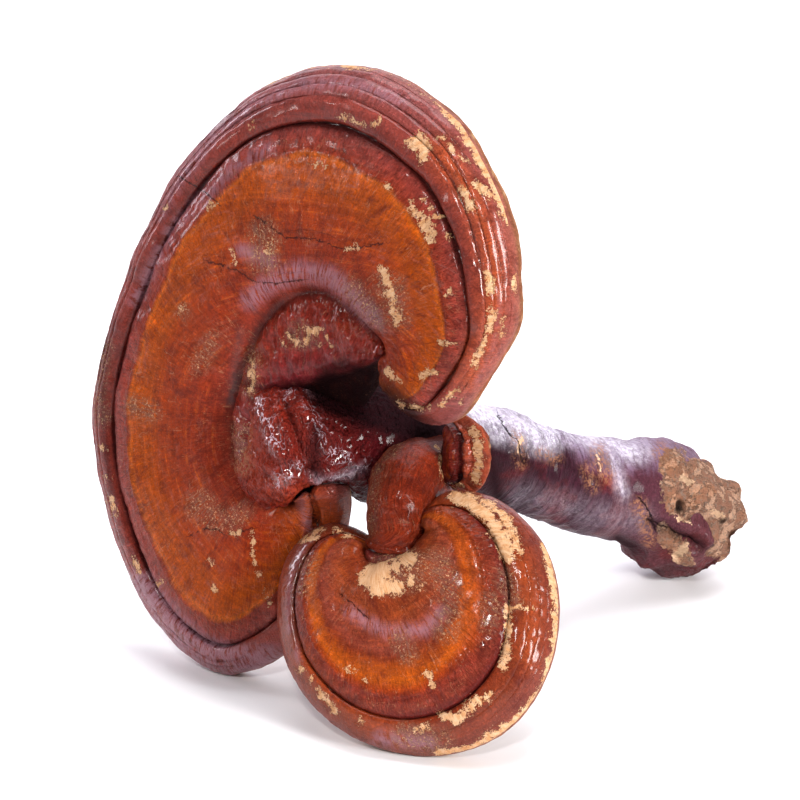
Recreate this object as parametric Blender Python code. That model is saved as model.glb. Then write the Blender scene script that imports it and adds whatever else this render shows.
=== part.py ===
"""Reishi mushroom, picked whole and lying on a table.

Five pieces, each one closed solid: the stem with its cut base, the large
kidney-shaped cap that grew round the stem's top, a finger-like branch stem,
the small cap at its end, and a bud cap beside the branch's root.

Each cap is a loft between unlike sections. Its arcs run from one notch pit
round the outline to the other pit, and a profile crosses them from the throat
over the plateau, the deep groove and the ridged rim to the pore underside.
The frame is +Z up. The table is Z = 0, X runs along the stem to the right and
Y away from the face of the caps. The origin is under the middle of the
mushroom's box.
"""
import math

import bmesh
import bpy
import numpy as np
from mathutils import Vector

MM = 0.001
GAP = 0.3 * MM                       # air between neighbouring pieces
CLEARANCE = 1.25 * GAP               # a cutter grows by more than the gap, for its facets
MERGE = 0.01 * MM
TABLE_SIZE = 0.4
SHARP_ANGLE = math.radians(50.0)

# Middle of the footprint in the drawing's millimetres; the drawing is moved by it.
FOOTPRINT_MIDDLE = (6.45, 32.85)

# Large cap: where its face lies, and its outlines in the face's own plane, in mm.
# Each row is one station: outer edge, plateau's inner crease, edge of the throat.
LARGE_CENTRE = (-18.4, 12.6, 58.7)
LARGE_TURN = 36.0                    # degrees the face looks to the left of the front
LARGE_TILT = 8.0                     # degrees it looks up
LARGE_OUTLINES = (
    ((17.2, 18.8), (17.2, 18.8), (17.2, 18.8)),
    ((17.0, 15.4), (17.9, 19.9), (17.5, 19.5)),
    ((21.0, 8.6), (18.2, 20.2), (16.8, 19.1)),
    ((29.5, 7.3), (18.6, 20.6), (16.0, 18.6)),
    ((38.2, 13.5), (18.4, 21.4), (14.8, 17.8)),
    ((45.2, 30.0), (16.6, 23.0), (12.0, 15.8)),
    ((42.6, 51.5), (11.4, 26.2), (7.5, 13.0)),
    ((28.0, 68.0), (4.6, 29.0), (2.5, 10.8)),
    ((5.0, 75.6), (-1.8, 28.9), (-2.0, 8.8)),
    ((-20.0, 68.5), (-8.8, 24.7), (-6.4, 6.8)),
    ((-41.5, 47.0), (-14.0, 17.2), (-10.6, 5.2)),
    ((-54.6, 18.5), (-17.6, 7.0), (-14.6, 2.8)),
    ((-59.4, -9.0), (-18.2, -1.5), (-16.9, -2.2)),
    ((-52.8, -31.6), (-17.0, -8.2), (-15.6, -7.8)),
    ((-39.5, -51.0), (-13.6, -12.8), (-12.6, -11.8)),
    ((-21.5, -59.0), (-10.6, -15.0), (-10.0, -13.9)),
    ((-7.5, -52.0), (-8.8, -16.2), (-8.6, -15.1)),
    ((2.2, -37.2), (-8.0, -16.6), (-8.0, -15.9)),
    ((2.0, -25.0), (-7.5, -16.8), (-7.5, -16.3)),
    ((-2.6, -16.8), (-7.2, -16.8), (-7.1, -16.4)),
    ((-6.6, -15.9), (-6.6, -15.9), (-6.6, -15.9)),
)
LARGE_RIM = (3.0, 3.6, 4.2, 5.4, 9.6, 12.0, 10.0, 8.8, 9.2, 9.6, 8.4, 6.0, 4.6, 4.0)
LARGE_BACK = (0.0, 0.0, 0.0, 0.0, 0.0, 0.0, 0.0, 0.0, 0.0, 0.0, 0.6, 5.4, 11.0, 9.0)
LARGE_PIT = -3.0
LARGE_STATIONS = 70

# Small cap, drawn in the same way.
SMALL_CENTRE = (1.0, -5.4, 26.6)
SMALL_TURN = 20.0
SMALL_TILT = 32.0
SMALL_OUTLINES = (
    ((0.0, 17.5), (0.0, 17.5), (0.0, 17.5)),
    ((-0.2, 22.4), (1.1, 16.7), (0.5, 16.8)),
    ((5.6, 26.3), (1.2, 15.9), (0.2, 16.3)),
    ((16.0, 24.8), (1.0, 14.8), (-0.5, 15.6)),
    ((25.6, 17.2), (0.4, 13.2), (-1.2, 14.6)),
    ((30.8, 4.5), (-0.6, 11.2), (-2.3, 13.4)),
    ((30.3, -10.5), (-2.2, 9.4), (-3.6, 12.4)),
    ((22.0, -22.6), (-4.0, 8.4), (-4.8, 11.6)),
    ((8.0, -28.3), (-5.6, 8.1), (-6.0, 11.2)),
    ((-7.5, -26.6), (-7.1, 8.2), (-7.1, 10.9)),
    ((-20.5, -18.6), (-8.4, 8.6), (-8.1, 10.8)),
    ((-28.2, -5.0), (-9.2, 9.2), (-8.8, 11.0)),
    ((-27.8, 8.6), (-9.7, 9.8), (-9.1, 11.1)),
    ((-20.6, 15.8), (-9.9, 10.3), (-9.2, 11.2)),
    ((-12.6, 15.0), (-9.8, 10.8), (-9.2, 11.4)),
    ((-9.1, 11.9), (-9.1, 11.9), (-9.1, 11.9)),
)
SMALL_RIM = (2.6, 3.4, 5.6, 8.2, 9.4, 9.0, 7.4, 6.0, 6.2, 6.4, 5.6, 4.2, 3.0)
SMALL_BACK = (0.0, 0.0)
SMALL_PIT = -2.0
SMALL_STATIONS = 48

# A cap's cross-section. Across: 0 throat edge, 1 crease, 2 deep groove, 3 outer edge;
# below 0 it runs on into the throat, where the pocket's wall meets the stem.
# Height: millimetres above the face's plane.
CAP_TOP = (
    (0.00, -3.4), (0.00, -0.8), (0.30, 2.4), (0.72, 2.6), (1.00, 0.6), (1.07, 3.4), (1.20, 5.2),
    (1.46, 5.7), (1.74, 4.9), (1.94, 3.0), (2.00, 0.0), (2.10, 2.4), (2.32, 2.9),
    (2.52, 1.9), (2.58, 0.7), (2.70, 1.1), (2.80, -0.5), (2.92, -0.9), (3.00, -3.6),
)
CAP_UNDER = (
    (2.97, -6.0), (2.84, -7.4), (2.30, -8.0), (1.40, -8.8), (0.60, -9.8), (-0.60, -11.4), (-0.40, -8.2),
)
RELIEF_REACH = 6.0                   # mm over which relief grows away from a pit
RIM_SHARE = 0.42                     # most of a short section that the rim may take

# Slow waves in a cap's rim: height in mm, half turns from pit to pit, shift across the profile.
RIM_WAVES = ((0.45, 9.0, 1.0), (0.30, 21.0, -2.0))

# Stem: axis and radius at each station, in mm, from its top to the cut base.
STEM_STATIONS = (
    (-23.6, 17.6, 53.7, 11.4),
    (-12.6, 24.6, 51.2, 12.6),
    (-4.2, 30.0, 49.8, 13.2),
    (12.9, 41.2, 43.4, 10.9),
    (21.7, 46.9, 39.8, 10.4),
    (30.7, 52.7, 34.2, 10.1),
    (39.9, 58.7, 29.0, 11.2),
    (46.9, 63.2, 26.3, 11.0),
    (56.4, 69.4, 21.6, 12.8),
    (64.6, 74.7, 15.2, 13.8),
    (71.4, 79.1, 12.2, 12.4),
)
STEM_TOP_DOME = 4.6
STEM_RINGS = 34
STEM_SIDES = 26
DOME_STEPS = (1.0, 0.86, 0.6, 0.3)   # places along a domed end, from its tip
DOME_FULLNESS = 0.96                 # 1 would close the dome in a point

# Lumps: depth in mm, lobes round the axis, waves along it, place of the middle, spread either side.
# The stem's are the crumpled rings of its middle third, a slow swell, and the lobes of its base.
STEM_LUMPS = (
    (0.42, 1.0, 64.0, 0.47, 0.12),
    (0.24, 3.0, -51.0, 0.47, 0.12),
    (0.30, 2.0, 6.0, 0.50, 2.0),
    (0.75, 3.0, 7.0, 1.00, 0.18),
    (0.45, 5.0, -9.0, 1.00, 0.18),
)
BRANCH_LUMPS = (
    (0.22, 3.0, 4.0, 0.50, 2.0),
    (0.12, 0.0, 24.0, 0.50, 2.0),
)
AXIS_READINGS = 200
FULL_PUSH_RADIUS = 6.0               # mm from the axis; nearer to it a lump fades out

# Branch stem: from the stem's near side, over a knuckle, down into the small cap.
BRANCH_STATIONS = (
    (11.0, 33.5, 45.5, 6.4),
    (7.0, 23.0, 46.6, 7.0),
    (2.2, 13.4, 48.4, 7.4),
    (0.2, 7.2, 46.8, 6.8),
    (-0.8, 4.6, 43.6, 5.9),
    (-1.0, 3.3, 40.0, 5.5),
    (-1.1, 2.9, 37.0, 5.5),
)
BRANCH_RINGS = 18
BRANCH_SIDES = 20
ROUND_END = 0.6                      # mm of dome at an end that meets another piece

# Bud cap: a thick little ear beside the branch's root.
BUD_CENTRE = (13.9, 13.0, 53.4)
BUD_SIZE = (3.9, 6.4, 7.7)           # half thickness, half width, half height in mm
BUD_TURN = 58.0                      # degrees its face looks to the left
BUD_TILT = 6.0
BUD_GROOVES = 2
BUD_GROOVE_DEPTH = 0.55
BUD_HOLLOW = 1.3                     # mm that the middle of its face lies back
BUD_RIM_BLEND = 0.05                 # share of the half thickness over which the faces' grooves meet
BUD_SEGMENTS = 22
BUD_RINGS = 12

# name: colour, roughness, metallic
LACQUERS = {
    "stem": ((0.060, 0.017, 0.018), 0.26, 0.0),
    "large_cap": ((0.235, 0.050, 0.012), 0.30, 0.0),
    "branch_stem": ((0.175, 0.028, 0.012), 0.26, 0.0),
    "small_cap": ((0.240, 0.048, 0.011), 0.30, 0.0),
    "bud_cap": ((0.190, 0.034, 0.014), 0.30, 0.0),
}


def clear_scene():
    """Remove every object the file opened with."""
    for thing in list(bpy.data.objects):
        bpy.data.objects.remove(thing, do_unlink=True)


def new_collection(name):
    group = bpy.data.collections.new(name)
    bpy.context.scene.collection.children.link(group)
    return group


def through(stations, places):
    """Smooth curve through the stations, read at places from 0 to 1.

    Between two stations it is the cubic whose slope at each station is half
    the step from the station before to the one after.
    """
    knots = np.asarray(stations, dtype=float)
    if knots.ndim == 1:
        knots = knots[:, None]
    last = len(knots) - 1
    x = np.clip(np.asarray(places, dtype=float), 0.0, 1.0) * last
    i = np.minimum(x.astype(int), last - 1)
    f = (x - i)[:, None]
    slope = np.gradient(knots, axis=0)
    a, b, sa, sb = knots[i], knots[i + 1], slope[i], slope[i + 1]
    h = f * f * (3.0 - 2.0 * f)
    curve = a + (b - a) * h + sa * (f * (1.0 - f) ** 2) - sb * (f * f * (1.0 - f))
    return curve[:, 0] if curve.shape[1] == 1 else curve


def face_axes(turn, tilt):
    """Right, up and outward directions of a cap's face."""
    a, t = math.radians(turn), math.radians(tilt)
    outward = np.array([-math.sin(a) * math.cos(t), -math.cos(a) * math.cos(t), math.sin(t)])
    right = np.array([math.cos(a), -math.sin(a), 0.0])
    return right, np.cross(outward, right), outward


def to_part_frame(points):
    """Millimetres of the drawing to metres round the part's origin."""
    moved = np.asarray(points, dtype=float).copy()
    moved[..., 0] -= FOOTPRINT_MIDDLE[0]
    moved[..., 1] -= FOOTPRINT_MIDDLE[1]
    return moved * MM


def cap_points(outlines, rim, back, pit, stations, centre, turn, tilt):
    """Grid of a cap's points: one row per station, one column per profile place."""
    s = np.linspace(0.0, 1.0, stations)
    shape = np.array(outlines).reshape(len(outlines), 6)
    drawn = through(shape, s)
    edge, crease, throat = drawn[:, 0:2], drawn[:, 2:4], drawn[:, 4:6]
    reach = np.linalg.norm(edge - crease, axis=1)
    width = np.minimum(through(rim, s), RIM_SHARE * reach)
    share = (width / np.maximum(reach, MERGE))[:, None]
    groove = edge + (crease - edge) * share
    relief = 1.0 - np.exp(-reach / RELIEF_REACH)
    set_back = through(back, s)
    columns = []
    for across, height in CAP_TOP + CAP_UNDER:
        zone = min(max(int(across), 0), 2)
        inner, outer = ((throat, crease), (crease, groove), (groove, edge))[zone]
        plan = inner + (outer - inner) * (across - zone)
        wave = sum(high * np.sin(turns * math.pi * s + shift * across) for high, turns, shift in RIM_WAVES)
        wave *= (across / 3.0) ** 2
        level = pit + (height + wave - pit) * relief - set_back
        columns.append(np.column_stack([plan, level]))
    flat = np.stack(columns, axis=1)
    right, up, outward = face_axes(turn, tilt)
    return np.asarray(centre) + flat @ np.stack([right, up, outward])


def skin_grid(name, grid):
    """Closed mesh over a grid whose columns go round and whose end rows are pits."""
    rows, columns = grid.shape[:2]
    mesh = bpy.data.meshes.new(name)
    bm = bmesh.new()
    verts = [[bm.verts.new(point) for point in row] for row in to_part_frame(grid)]
    for i in range(rows - 1):
        for j in range(columns):
            k = (j + 1) % columns
            bm.faces.new((verts[i][j], verts[i][k], verts[i + 1][k], verts[i + 1][j]))
    bmesh.ops.remove_doubles(bm, verts=bm.verts, dist=MERGE)
    bmesh.ops.dissolve_degenerate(bm, edges=bm.edges, dist=MERGE)
    bmesh.ops.triangulate(bm, faces=bm.faces)
    bmesh.ops.recalc_face_normals(bm, faces=bm.faces)
    bm.to_mesh(mesh)
    bm.free()
    return bpy.data.objects.new(name, mesh)


def tube(name, stations, rings, sides, dome):
    """Tapering tube along the stations, with a domed start and a flat far end."""
    places = np.linspace(0.0, 1.0, rings)
    path = through(stations, places)
    start = path[0, :3] - path[1, :3]
    start /= np.linalg.norm(start)
    tips = []
    for out in DOME_STEPS:
        radius = path[0, 3] * math.sqrt(1.0 - DOME_FULLNESS * out ** 2)
        tips.append(np.append(path[0, :3] + start * dome * out, radius))
    points = np.vstack([tips, path])
    data = bpy.data.curves.new(name, "CURVE")
    data.dimensions = "3D"
    data.bevel_depth = MM
    data.bevel_resolution = sides // 2 - 2
    data.use_fill_caps = True
    spline = data.splines.new("POLY")
    spline.points.add(len(points) - 1)
    for knot, place, radius in zip(spline.points, to_part_frame(points[:, :3]), points[:, 3]):
        knot.co = (*place, 1.0)
        knot.radius = radius
    curve = bpy.data.objects.new(name + "_route", data)
    bpy.context.scene.collection.objects.link(curve)
    bpy.context.view_layer.update()
    seen = curve.evaluated_get(bpy.context.evaluated_depsgraph_get())
    mesh = bpy.data.meshes.new_from_object(seen)
    mesh.name = name
    piece = bpy.data.objects.new(name, mesh)
    piece.matrix_world = curve.matrix_world
    bpy.data.objects.remove(curve, do_unlink=True)
    bm = bmesh.new()
    bm.from_mesh(mesh)
    bmesh.ops.remove_doubles(bm, verts=bm.verts, dist=MERGE)
    bmesh.ops.recalc_face_normals(bm, faces=bm.faces)
    bm.to_mesh(mesh)
    bm.free()
    return piece


def lump_depth(lumps, place, angle):
    """Sum of the lumps' sine waves, each fading as a bell curve away from its middle."""
    depth = np.zeros_like(place)
    for high, around, along, middle, spread in lumps:
        nearness = np.exp(-((place - middle) / spread) ** 2)
        depth += high * nearness * np.sin(around * angle + along * place)
    return depth


def push_radially(piece, stations, lumps):
    """Move each point of a tube away from its axis by the depth of the lumps there."""
    places = np.linspace(0.0, 1.0, AXIS_READINGS)
    axis = to_part_frame(through(stations, places)[:, :3])
    count = len(piece.data.vertices)
    points = np.empty(count * 3)
    piece.data.vertices.foreach_get("co", points)
    points = points.reshape(count, 3)
    nearest = np.argmin(((points[:, None] - axis[None]) ** 2).sum(axis=2), axis=1)
    out = points - axis[nearest]
    tangent = np.gradient(axis, axis=0)[nearest]
    tangent /= np.linalg.norm(tangent, axis=1)[:, None]
    out -= tangent * (out * tangent).sum(axis=1)[:, None]
    reach = np.linalg.norm(out, axis=1)
    side = np.cross(tangent, [0.0, 0.0, 1.0])
    side /= np.linalg.norm(side, axis=1)[:, None]
    top = np.cross(side, tangent)
    angle = np.arctan2((out * top).sum(axis=1), (out * side).sum(axis=1))
    move = lump_depth(lumps, places[nearest], angle) * MM
    move *= np.clip(reach / (FULL_PUSH_RADIUS * MM), 0.0, 1.0)
    points += out / np.maximum(reach, MERGE)[:, None] * move[:, None]
    piece.data.vertices.foreach_set("co", points.ravel())
    piece.data.update()


def make_bud():
    """A flattened ball with grooves that run round its face."""
    mesh = bpy.data.meshes.new("bud_cap")
    bm = bmesh.new()
    bmesh.ops.create_uvsphere(bm, u_segments=BUD_SEGMENTS, v_segments=BUD_RINGS, radius=1.0)
    right, up, outward = face_axes(BUD_TURN, BUD_TILT)
    for vert in bm.verts:
        x, y, z = vert.co
        around = math.hypot(x, y)
        groove = BUD_GROOVE_DEPTH * math.cos(2.0 * math.pi * BUD_GROOVES * around) * z / (abs(z) + BUD_RIM_BLEND)
        hollow = BUD_HOLLOW * (1.0 - around) * (z > 0.0)
        depth = z * BUD_SIZE[0] + groove - hollow
        place = np.asarray(BUD_CENTRE) + right * x * BUD_SIZE[1] + up * y * BUD_SIZE[2] + outward * depth
        vert.co = Vector(to_part_frame(place))
    bmesh.ops.recalc_face_normals(bm, faces=bm.faces)
    bm.to_mesh(mesh)
    bm.free()
    return bpy.data.objects.new("bud_cap", mesh)


def finish_piece(piece, parts):
    """Put a piece in the collection, with its lacquer and smooth shading."""
    colour, roughness, metallic = LACQUERS[piece.name]
    lacquer = bpy.data.materials.new(piece.name + "_lacquer")
    lacquer.use_nodes = True
    shader = lacquer.node_tree.nodes["Principled BSDF"]
    shader.inputs["Base Color"].default_value = (*colour, 1.0)
    shader.inputs["Roughness"].default_value = roughness
    shader.inputs["Metallic"].default_value = metallic
    piece.data.materials.clear()
    piece.data.materials.append(lacquer)
    parts.objects.link(piece)
    piece.data.shade_smooth()
    piece.data.set_sharp_from_angle(angle=SHARP_ANGLE)


def grown_cutter(piece, cutters):
    """Copy of a finished piece, fatter by the gap, that clears room for it."""
    bpy.context.view_layer.update()
    seen = piece.evaluated_get(bpy.context.evaluated_depsgraph_get())
    mesh = bpy.data.meshes.new_from_object(seen)
    bm = bmesh.new()
    bm.from_mesh(mesh)
    bmesh.ops.triangulate(bm, faces=bm.faces)
    bm.normal_update()
    moves = [(vert, vert.normal * CLEARANCE) for vert in bm.verts]
    for vert, move in moves:
        vert.co += move
    bm.to_mesh(mesh)
    bm.free()
    cutter = bpy.data.objects.new(piece.name + "_room", mesh)
    return add_cutter(cutter, cutters)


def add_cutter(cutter, cutters):
    cutter.hide_render = True
    cutter.display_type = "WIRE"
    cutters.objects.link(cutter)
    return cutter


def table_cutter(cutters):
    """Block whose top is the table: it leaves small level flats where pieces touch."""
    mesh = bpy.data.meshes.new("table_room")
    bm = bmesh.new()
    bmesh.ops.create_cube(bm, size=TABLE_SIZE)
    bmesh.ops.translate(bm, verts=bm.verts, vec=(0.0, 0.0, -TABLE_SIZE / 2.0))
    bm.to_mesh(mesh)
    bm.free()
    return add_cutter(bpy.data.objects.new("table_room", mesh), cutters)


def cut(piece, cutter):
    """Take the cutter's space out of the piece."""
    modifier = piece.modifiers.new(cutter.name, "BOOLEAN")
    modifier.operation = "DIFFERENCE"
    modifier.solver = "EXACT"
    modifier.object = cutter


def build():
    clear_scene()
    parts = new_collection("reishi_mushroom")
    cutters = new_collection("cutters")
    table = table_cutter(cutters)

    stem = tube("stem", STEM_STATIONS, STEM_RINGS, STEM_SIDES, STEM_TOP_DOME)
    push_radially(stem, STEM_STATIONS, STEM_LUMPS)
    finish_piece(stem, parts)
    cut(stem, table)
    stem_room = grown_cutter(stem, cutters)

    branch = tube("branch_stem", BRANCH_STATIONS, BRANCH_RINGS, BRANCH_SIDES, ROUND_END)
    push_radially(branch, BRANCH_STATIONS, BRANCH_LUMPS)
    finish_piece(branch, parts)
    cut(branch, stem_room)
    branch_room = grown_cutter(branch, cutters)

    small = skin_grid("small_cap", cap_points(SMALL_OUTLINES, SMALL_RIM, SMALL_BACK, SMALL_PIT,
                                              SMALL_STATIONS, SMALL_CENTRE, SMALL_TURN, SMALL_TILT))
    finish_piece(small, parts)
    cut(small, branch_room)
    cut(small, table)
    small_room = grown_cutter(small, cutters)

    large = skin_grid("large_cap", cap_points(LARGE_OUTLINES, LARGE_RIM, LARGE_BACK, LARGE_PIT,
                                              LARGE_STATIONS, LARGE_CENTRE, LARGE_TURN, LARGE_TILT))
    finish_piece(large, parts)
    cut(large, stem_room)
    cut(large, small_room)
    cut(large, table)

    bud = make_bud()
    finish_piece(bud, parts)
    cut(bud, branch_room)
    cut(bud, stem_room)
    cut(bud, small_room)


build()
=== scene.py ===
"""Reishi mushroom: its lacquered skin, its wear and its setting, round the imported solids.

Shapes are worked out in the drawing's millimetres. X runs along the stem to the
right, Y away from the faces of the caps, and Z up from the table. to_frame()
moves them to the solids' own frame, in metres.
"""

import math

import bpy
import numpy as np
from mathutils import Matrix


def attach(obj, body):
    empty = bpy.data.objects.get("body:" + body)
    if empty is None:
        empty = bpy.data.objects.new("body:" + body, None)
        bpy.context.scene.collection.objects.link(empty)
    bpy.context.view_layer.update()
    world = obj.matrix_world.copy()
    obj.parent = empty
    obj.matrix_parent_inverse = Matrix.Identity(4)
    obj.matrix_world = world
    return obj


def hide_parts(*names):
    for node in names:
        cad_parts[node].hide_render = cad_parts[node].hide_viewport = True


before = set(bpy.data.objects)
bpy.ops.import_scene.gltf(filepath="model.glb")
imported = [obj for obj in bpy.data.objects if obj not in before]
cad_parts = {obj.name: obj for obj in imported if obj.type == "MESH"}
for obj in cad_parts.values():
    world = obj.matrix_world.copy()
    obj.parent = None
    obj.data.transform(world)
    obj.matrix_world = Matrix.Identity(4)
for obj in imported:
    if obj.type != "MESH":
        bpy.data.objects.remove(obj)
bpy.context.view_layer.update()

MM = 0.001
FOOTPRINT_MIDDLE = np.array([6.45, 32.85, 0.0])

# The camera, in the drawing's millimetres: it looks down on the table from the front.
LOOK_AT = np.array([0.0, 0.0, 70.0])
CAMERA_DISTANCE = 640.0
CAMERA_ELEVATION = math.radians(20.0)
LENS = 144.0
SENSOR = 36.0
PHOTO_SIDE = 800.0


def to_frame(points):
    """The drawing's millimetres to the solids' metres: moved by the footprint's middle, then scaled."""
    return (np.asarray(points, dtype=float) - FOOTPRINT_MIDDLE) * MM


def camera_axes():
    """Right, upper and forward directions of the camera: its elevation turned about X."""
    rise, level = math.sin(CAMERA_ELEVATION), math.cos(CAMERA_ELEVATION)
    return np.array([1.0, 0.0, 0.0]), np.array([0.0, rise, level]), np.array([0.0, level, -rise])


def photo_place(points):
    """Where points land in the photograph's 800 by 800 frame: offset over depth, times the lens's reach."""
    right, upper, forward = camera_axes()
    offset = points - LOOK_AT
    reach = PHOTO_SIDE * LENS / SENSOR / (CAMERA_DISTANCE + offset @ forward)
    across = PHOTO_SIDE / 2 + (offset @ right) * reach
    down = PHOTO_SIDE / 2 - (offset @ upper) * reach
    return np.stack([across, down], axis=-1)


# Curves, relief and grids

def through(stations, places):
    """Smooth curve through evenly numbered stations, read at places from 0 to 1.

    Between two stations it is the cubic whose slope at each is half the step
    from the station before to the one after.
    """
    knots = np.asarray(stations, dtype=float)
    if knots.ndim == 1:
        knots = knots[:, None]
    last = len(knots) - 1
    x = np.clip(np.asarray(places, dtype=float), 0.0, 1.0) * last
    i = np.minimum(x.astype(int), last - 1)
    f = (x - i)[:, None]
    slope = np.gradient(knots, axis=0)
    a, b, sa, sb = knots[i], knots[i + 1], slope[i], slope[i + 1]
    h = f * f * (3.0 - 2.0 * f)
    curve = a + (b - a) * h + sa * (f * (1.0 - f) ** 2) - sb * (f * f * (1.0 - f))
    return curve[:, 0] if curve.shape[1] == 1 else curve


def profile(table, x):
    """Height at x on the cubic through a table of (place, height).

    Each knot's slope is that of the parabola through it and its two neighbours.
    """
    knots, heights = np.array(table).T
    slope = np.gradient(heights, knots)
    i = np.clip(np.searchsorted(knots, x, side="right") - 1, 0, len(knots) - 2)
    gap = knots[i + 1] - knots[i]
    f = np.clip((x - knots[i]) / gap, 0.0, 1.0)
    h = f * f * (3.0 - 2.0 * f)
    rise = heights[i] + (heights[i + 1] - heights[i]) * h
    return rise + gap * (slope[i] * f * (1.0 - f) ** 2 - slope[i + 1] * f * f * (1.0 - f))


def spaced(start, end, count, crowd=0.6):
    """count places from start up to end, end left out: a mix of even steps and of
    cosine steps, which crowd at both ends.
    """
    x = np.arange(count) / count
    return start + (end - start) * ((1.0 - crowd) * x + crowd * (1.0 - np.cos(math.pi * x)) / 2.0)


def ripple(points, length, seed, waves=10):
    """Smooth random relief, mostly from -1 to 1.

    It is the sum of sine waves of about this length in random directions, over
    the root of their number.
    """
    random = np.random.default_rng(seed)
    turns = random.normal(size=(points.shape[-1], waves))
    turns *= 2.0 * math.pi / length * random.uniform(0.65, 1.5, waves) / np.linalg.norm(turns, axis=0)
    shift = random.uniform(0.0, 2.0 * math.pi, waves)
    return np.sin(points @ turns + shift).sum(axis=-1) * math.sqrt(1.0 / waves)


def crumple(points, length, seed):
    """Folded relief from about -1 up to 1 along sharp ridges: 1 less twice the size of a ripple."""
    return 1.0 - 2.0 * np.minimum(np.abs(ripple(points, length, seed)), 1.0)


def bell(x, middle, spread):
    """1 at the middle, falling away as a bell curve."""
    return np.exp(-((x - middle) / spread) ** 2)


def step(x, low, high):
    """0 below low, 1 above high, and a smooth S between."""
    f = np.clip((x - low) / (high - low), 0.0, 1.0)
    return f * f * (3.0 - 2.0 * f)


def grid_normals(points):
    """Unit normals of a grid that is closed across its columns: the cross product of its two slopes."""
    along = np.gradient(points, axis=0)
    across = np.roll(points, -1, axis=1) - np.roll(points, 1, axis=1)
    normal = np.cross(along, across)
    return normal / np.maximum(np.linalg.norm(normal, axis=-1, keepdims=True), 1e-9)


def outward_normals(points, middle):
    """The grid's normals, turned so that most of them point away from the middle."""
    normal = grid_normals(points)
    facing = ((points - middle) * normal).sum(axis=-1).mean()
    return normal if facing > 0.0 else -normal


def put(name, data):
    """A new object in the scene, for a mesh, a camera or a light."""
    thing = bpy.data.objects.new(name, data)
    bpy.context.scene.collection.objects.link(thing)
    return thing


def skin(name, points, fields):
    """Closed mesh over a grid of points, with one value of each field at every point.

    Columns go round and join up. The first and the last row are each drawn
    together in one point, their mean, so both ends are closed by a fan.
    """
    rows, columns = points.shape[:2]

    def gather(values):
        """One value for every point of the mesh, the two ends' last."""
        flat = values[1:-1].reshape((rows - 2) * columns, *values.shape[2:])
        return np.concatenate([flat, values[:1].mean(axis=1), values[-1:].mean(axis=1)])

    ids = np.arange((rows - 2) * columns).reshape(rows - 2, columns)
    after = np.roll(ids, -1, axis=1)
    first, last = ids.size, ids.size + 1
    quads = np.stack([ids[:-1], after[:-1], after[1:], ids[1:]], axis=-1).reshape(-1, 4)
    fans = np.concatenate([
        np.stack([np.full(columns, first), after[0], ids[0]], axis=-1),
        np.stack([np.full(columns, last), ids[-1], after[-1]], axis=-1),
    ])
    place = to_frame(gather(points))
    a, b, c = (place[quads[:, k]] for k in (0, 1, 2))
    d = place[quads[:, 3]]
    volume = (a * np.cross(b, c)).sum() + (a * np.cross(c, d)).sum()
    if volume < 0.0:
        quads, fans = quads[:, ::-1], fans[:, ::-1]
    mesh = bpy.data.meshes.new(name)
    mesh.vertices.add(len(place))
    mesh.vertices.foreach_set("co", place.ravel())
    mesh.loops.add(quads.size + fans.size)
    mesh.loops.foreach_set("vertex_index", np.concatenate([quads.ravel(), fans.ravel()]).astype(np.int32))
    mesh.polygons.add(len(quads) + len(fans))
    starts = np.concatenate([np.arange(len(quads)) * 4, quads.size + np.arange(len(fans)) * 3])
    mesh.polygons.foreach_set("loop_start", starts.astype(np.int32))
    mesh.update(calc_edges=True)
    mesh.shade_smooth()
    for field, values in fields.items():
        values = gather(values)
        kind, key = ("FLOAT_VECTOR", "vector") if values.ndim == 2 else ("FLOAT", "value")
        mesh.attributes.new(field, kind, "POINT").data.foreach_set(key, values.astype(np.float32).ravel())
    return put(name, mesh)


# Depth of a place that no stroke comes near, and the farthest that a crack is felt, in pixels
FAR_OUT = -40.0
CRACK_REACH = 8.0


def off_segment(places, a, b):
    """Offset of each place from the nearest point of the segment from a to b."""
    run = b - a
    f = np.clip((places - a) @ run / max(run @ run, 1e-6), 0.0, 1.0)
    return places - a - f[..., None] * run


def stroke_reach(places, strokes):
    """How deep each place lies inside the nearest stroke, in the photograph's pixels; below 0 is outside.

    A stroke is a radius and a chain of points. The depth is the radius less the
    distance to the nearest of its segments.
    """
    best = np.full(places.shape[:-1], FAR_OUT)
    for radius, *chain in strokes:
        chain = np.array(chain, dtype=float)
        for a, b in zip(chain, chain[1:] if len(chain) > 1 else chain):
            away = np.linalg.norm(off_segment(places, a, b), axis=-1)
            best = np.maximum(best, radius - away)
    return best


def stroke_side(places, chains):
    """Distance to the nearest chain of points, in pixels, below 0 on one of its sides."""
    nearest = np.full(places.shape[:-1], CRACK_REACH)
    signed = np.full(places.shape[:-1], CRACK_REACH)
    for chain in chains:
        chain = np.array(chain, dtype=float)
        for a, b in zip(chain, chain[1:]):
            run, gap = b - a, off_segment(places, a, b)
            away = np.linalg.norm(gap, axis=-1)
            side = np.sign(run[0] * gap[..., 1] - run[1] * gap[..., 0])
            closer = away < nearest
            nearest = np.where(closer, away, nearest)
            signed = np.where(closer, away * side, signed)
    return signed


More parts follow.
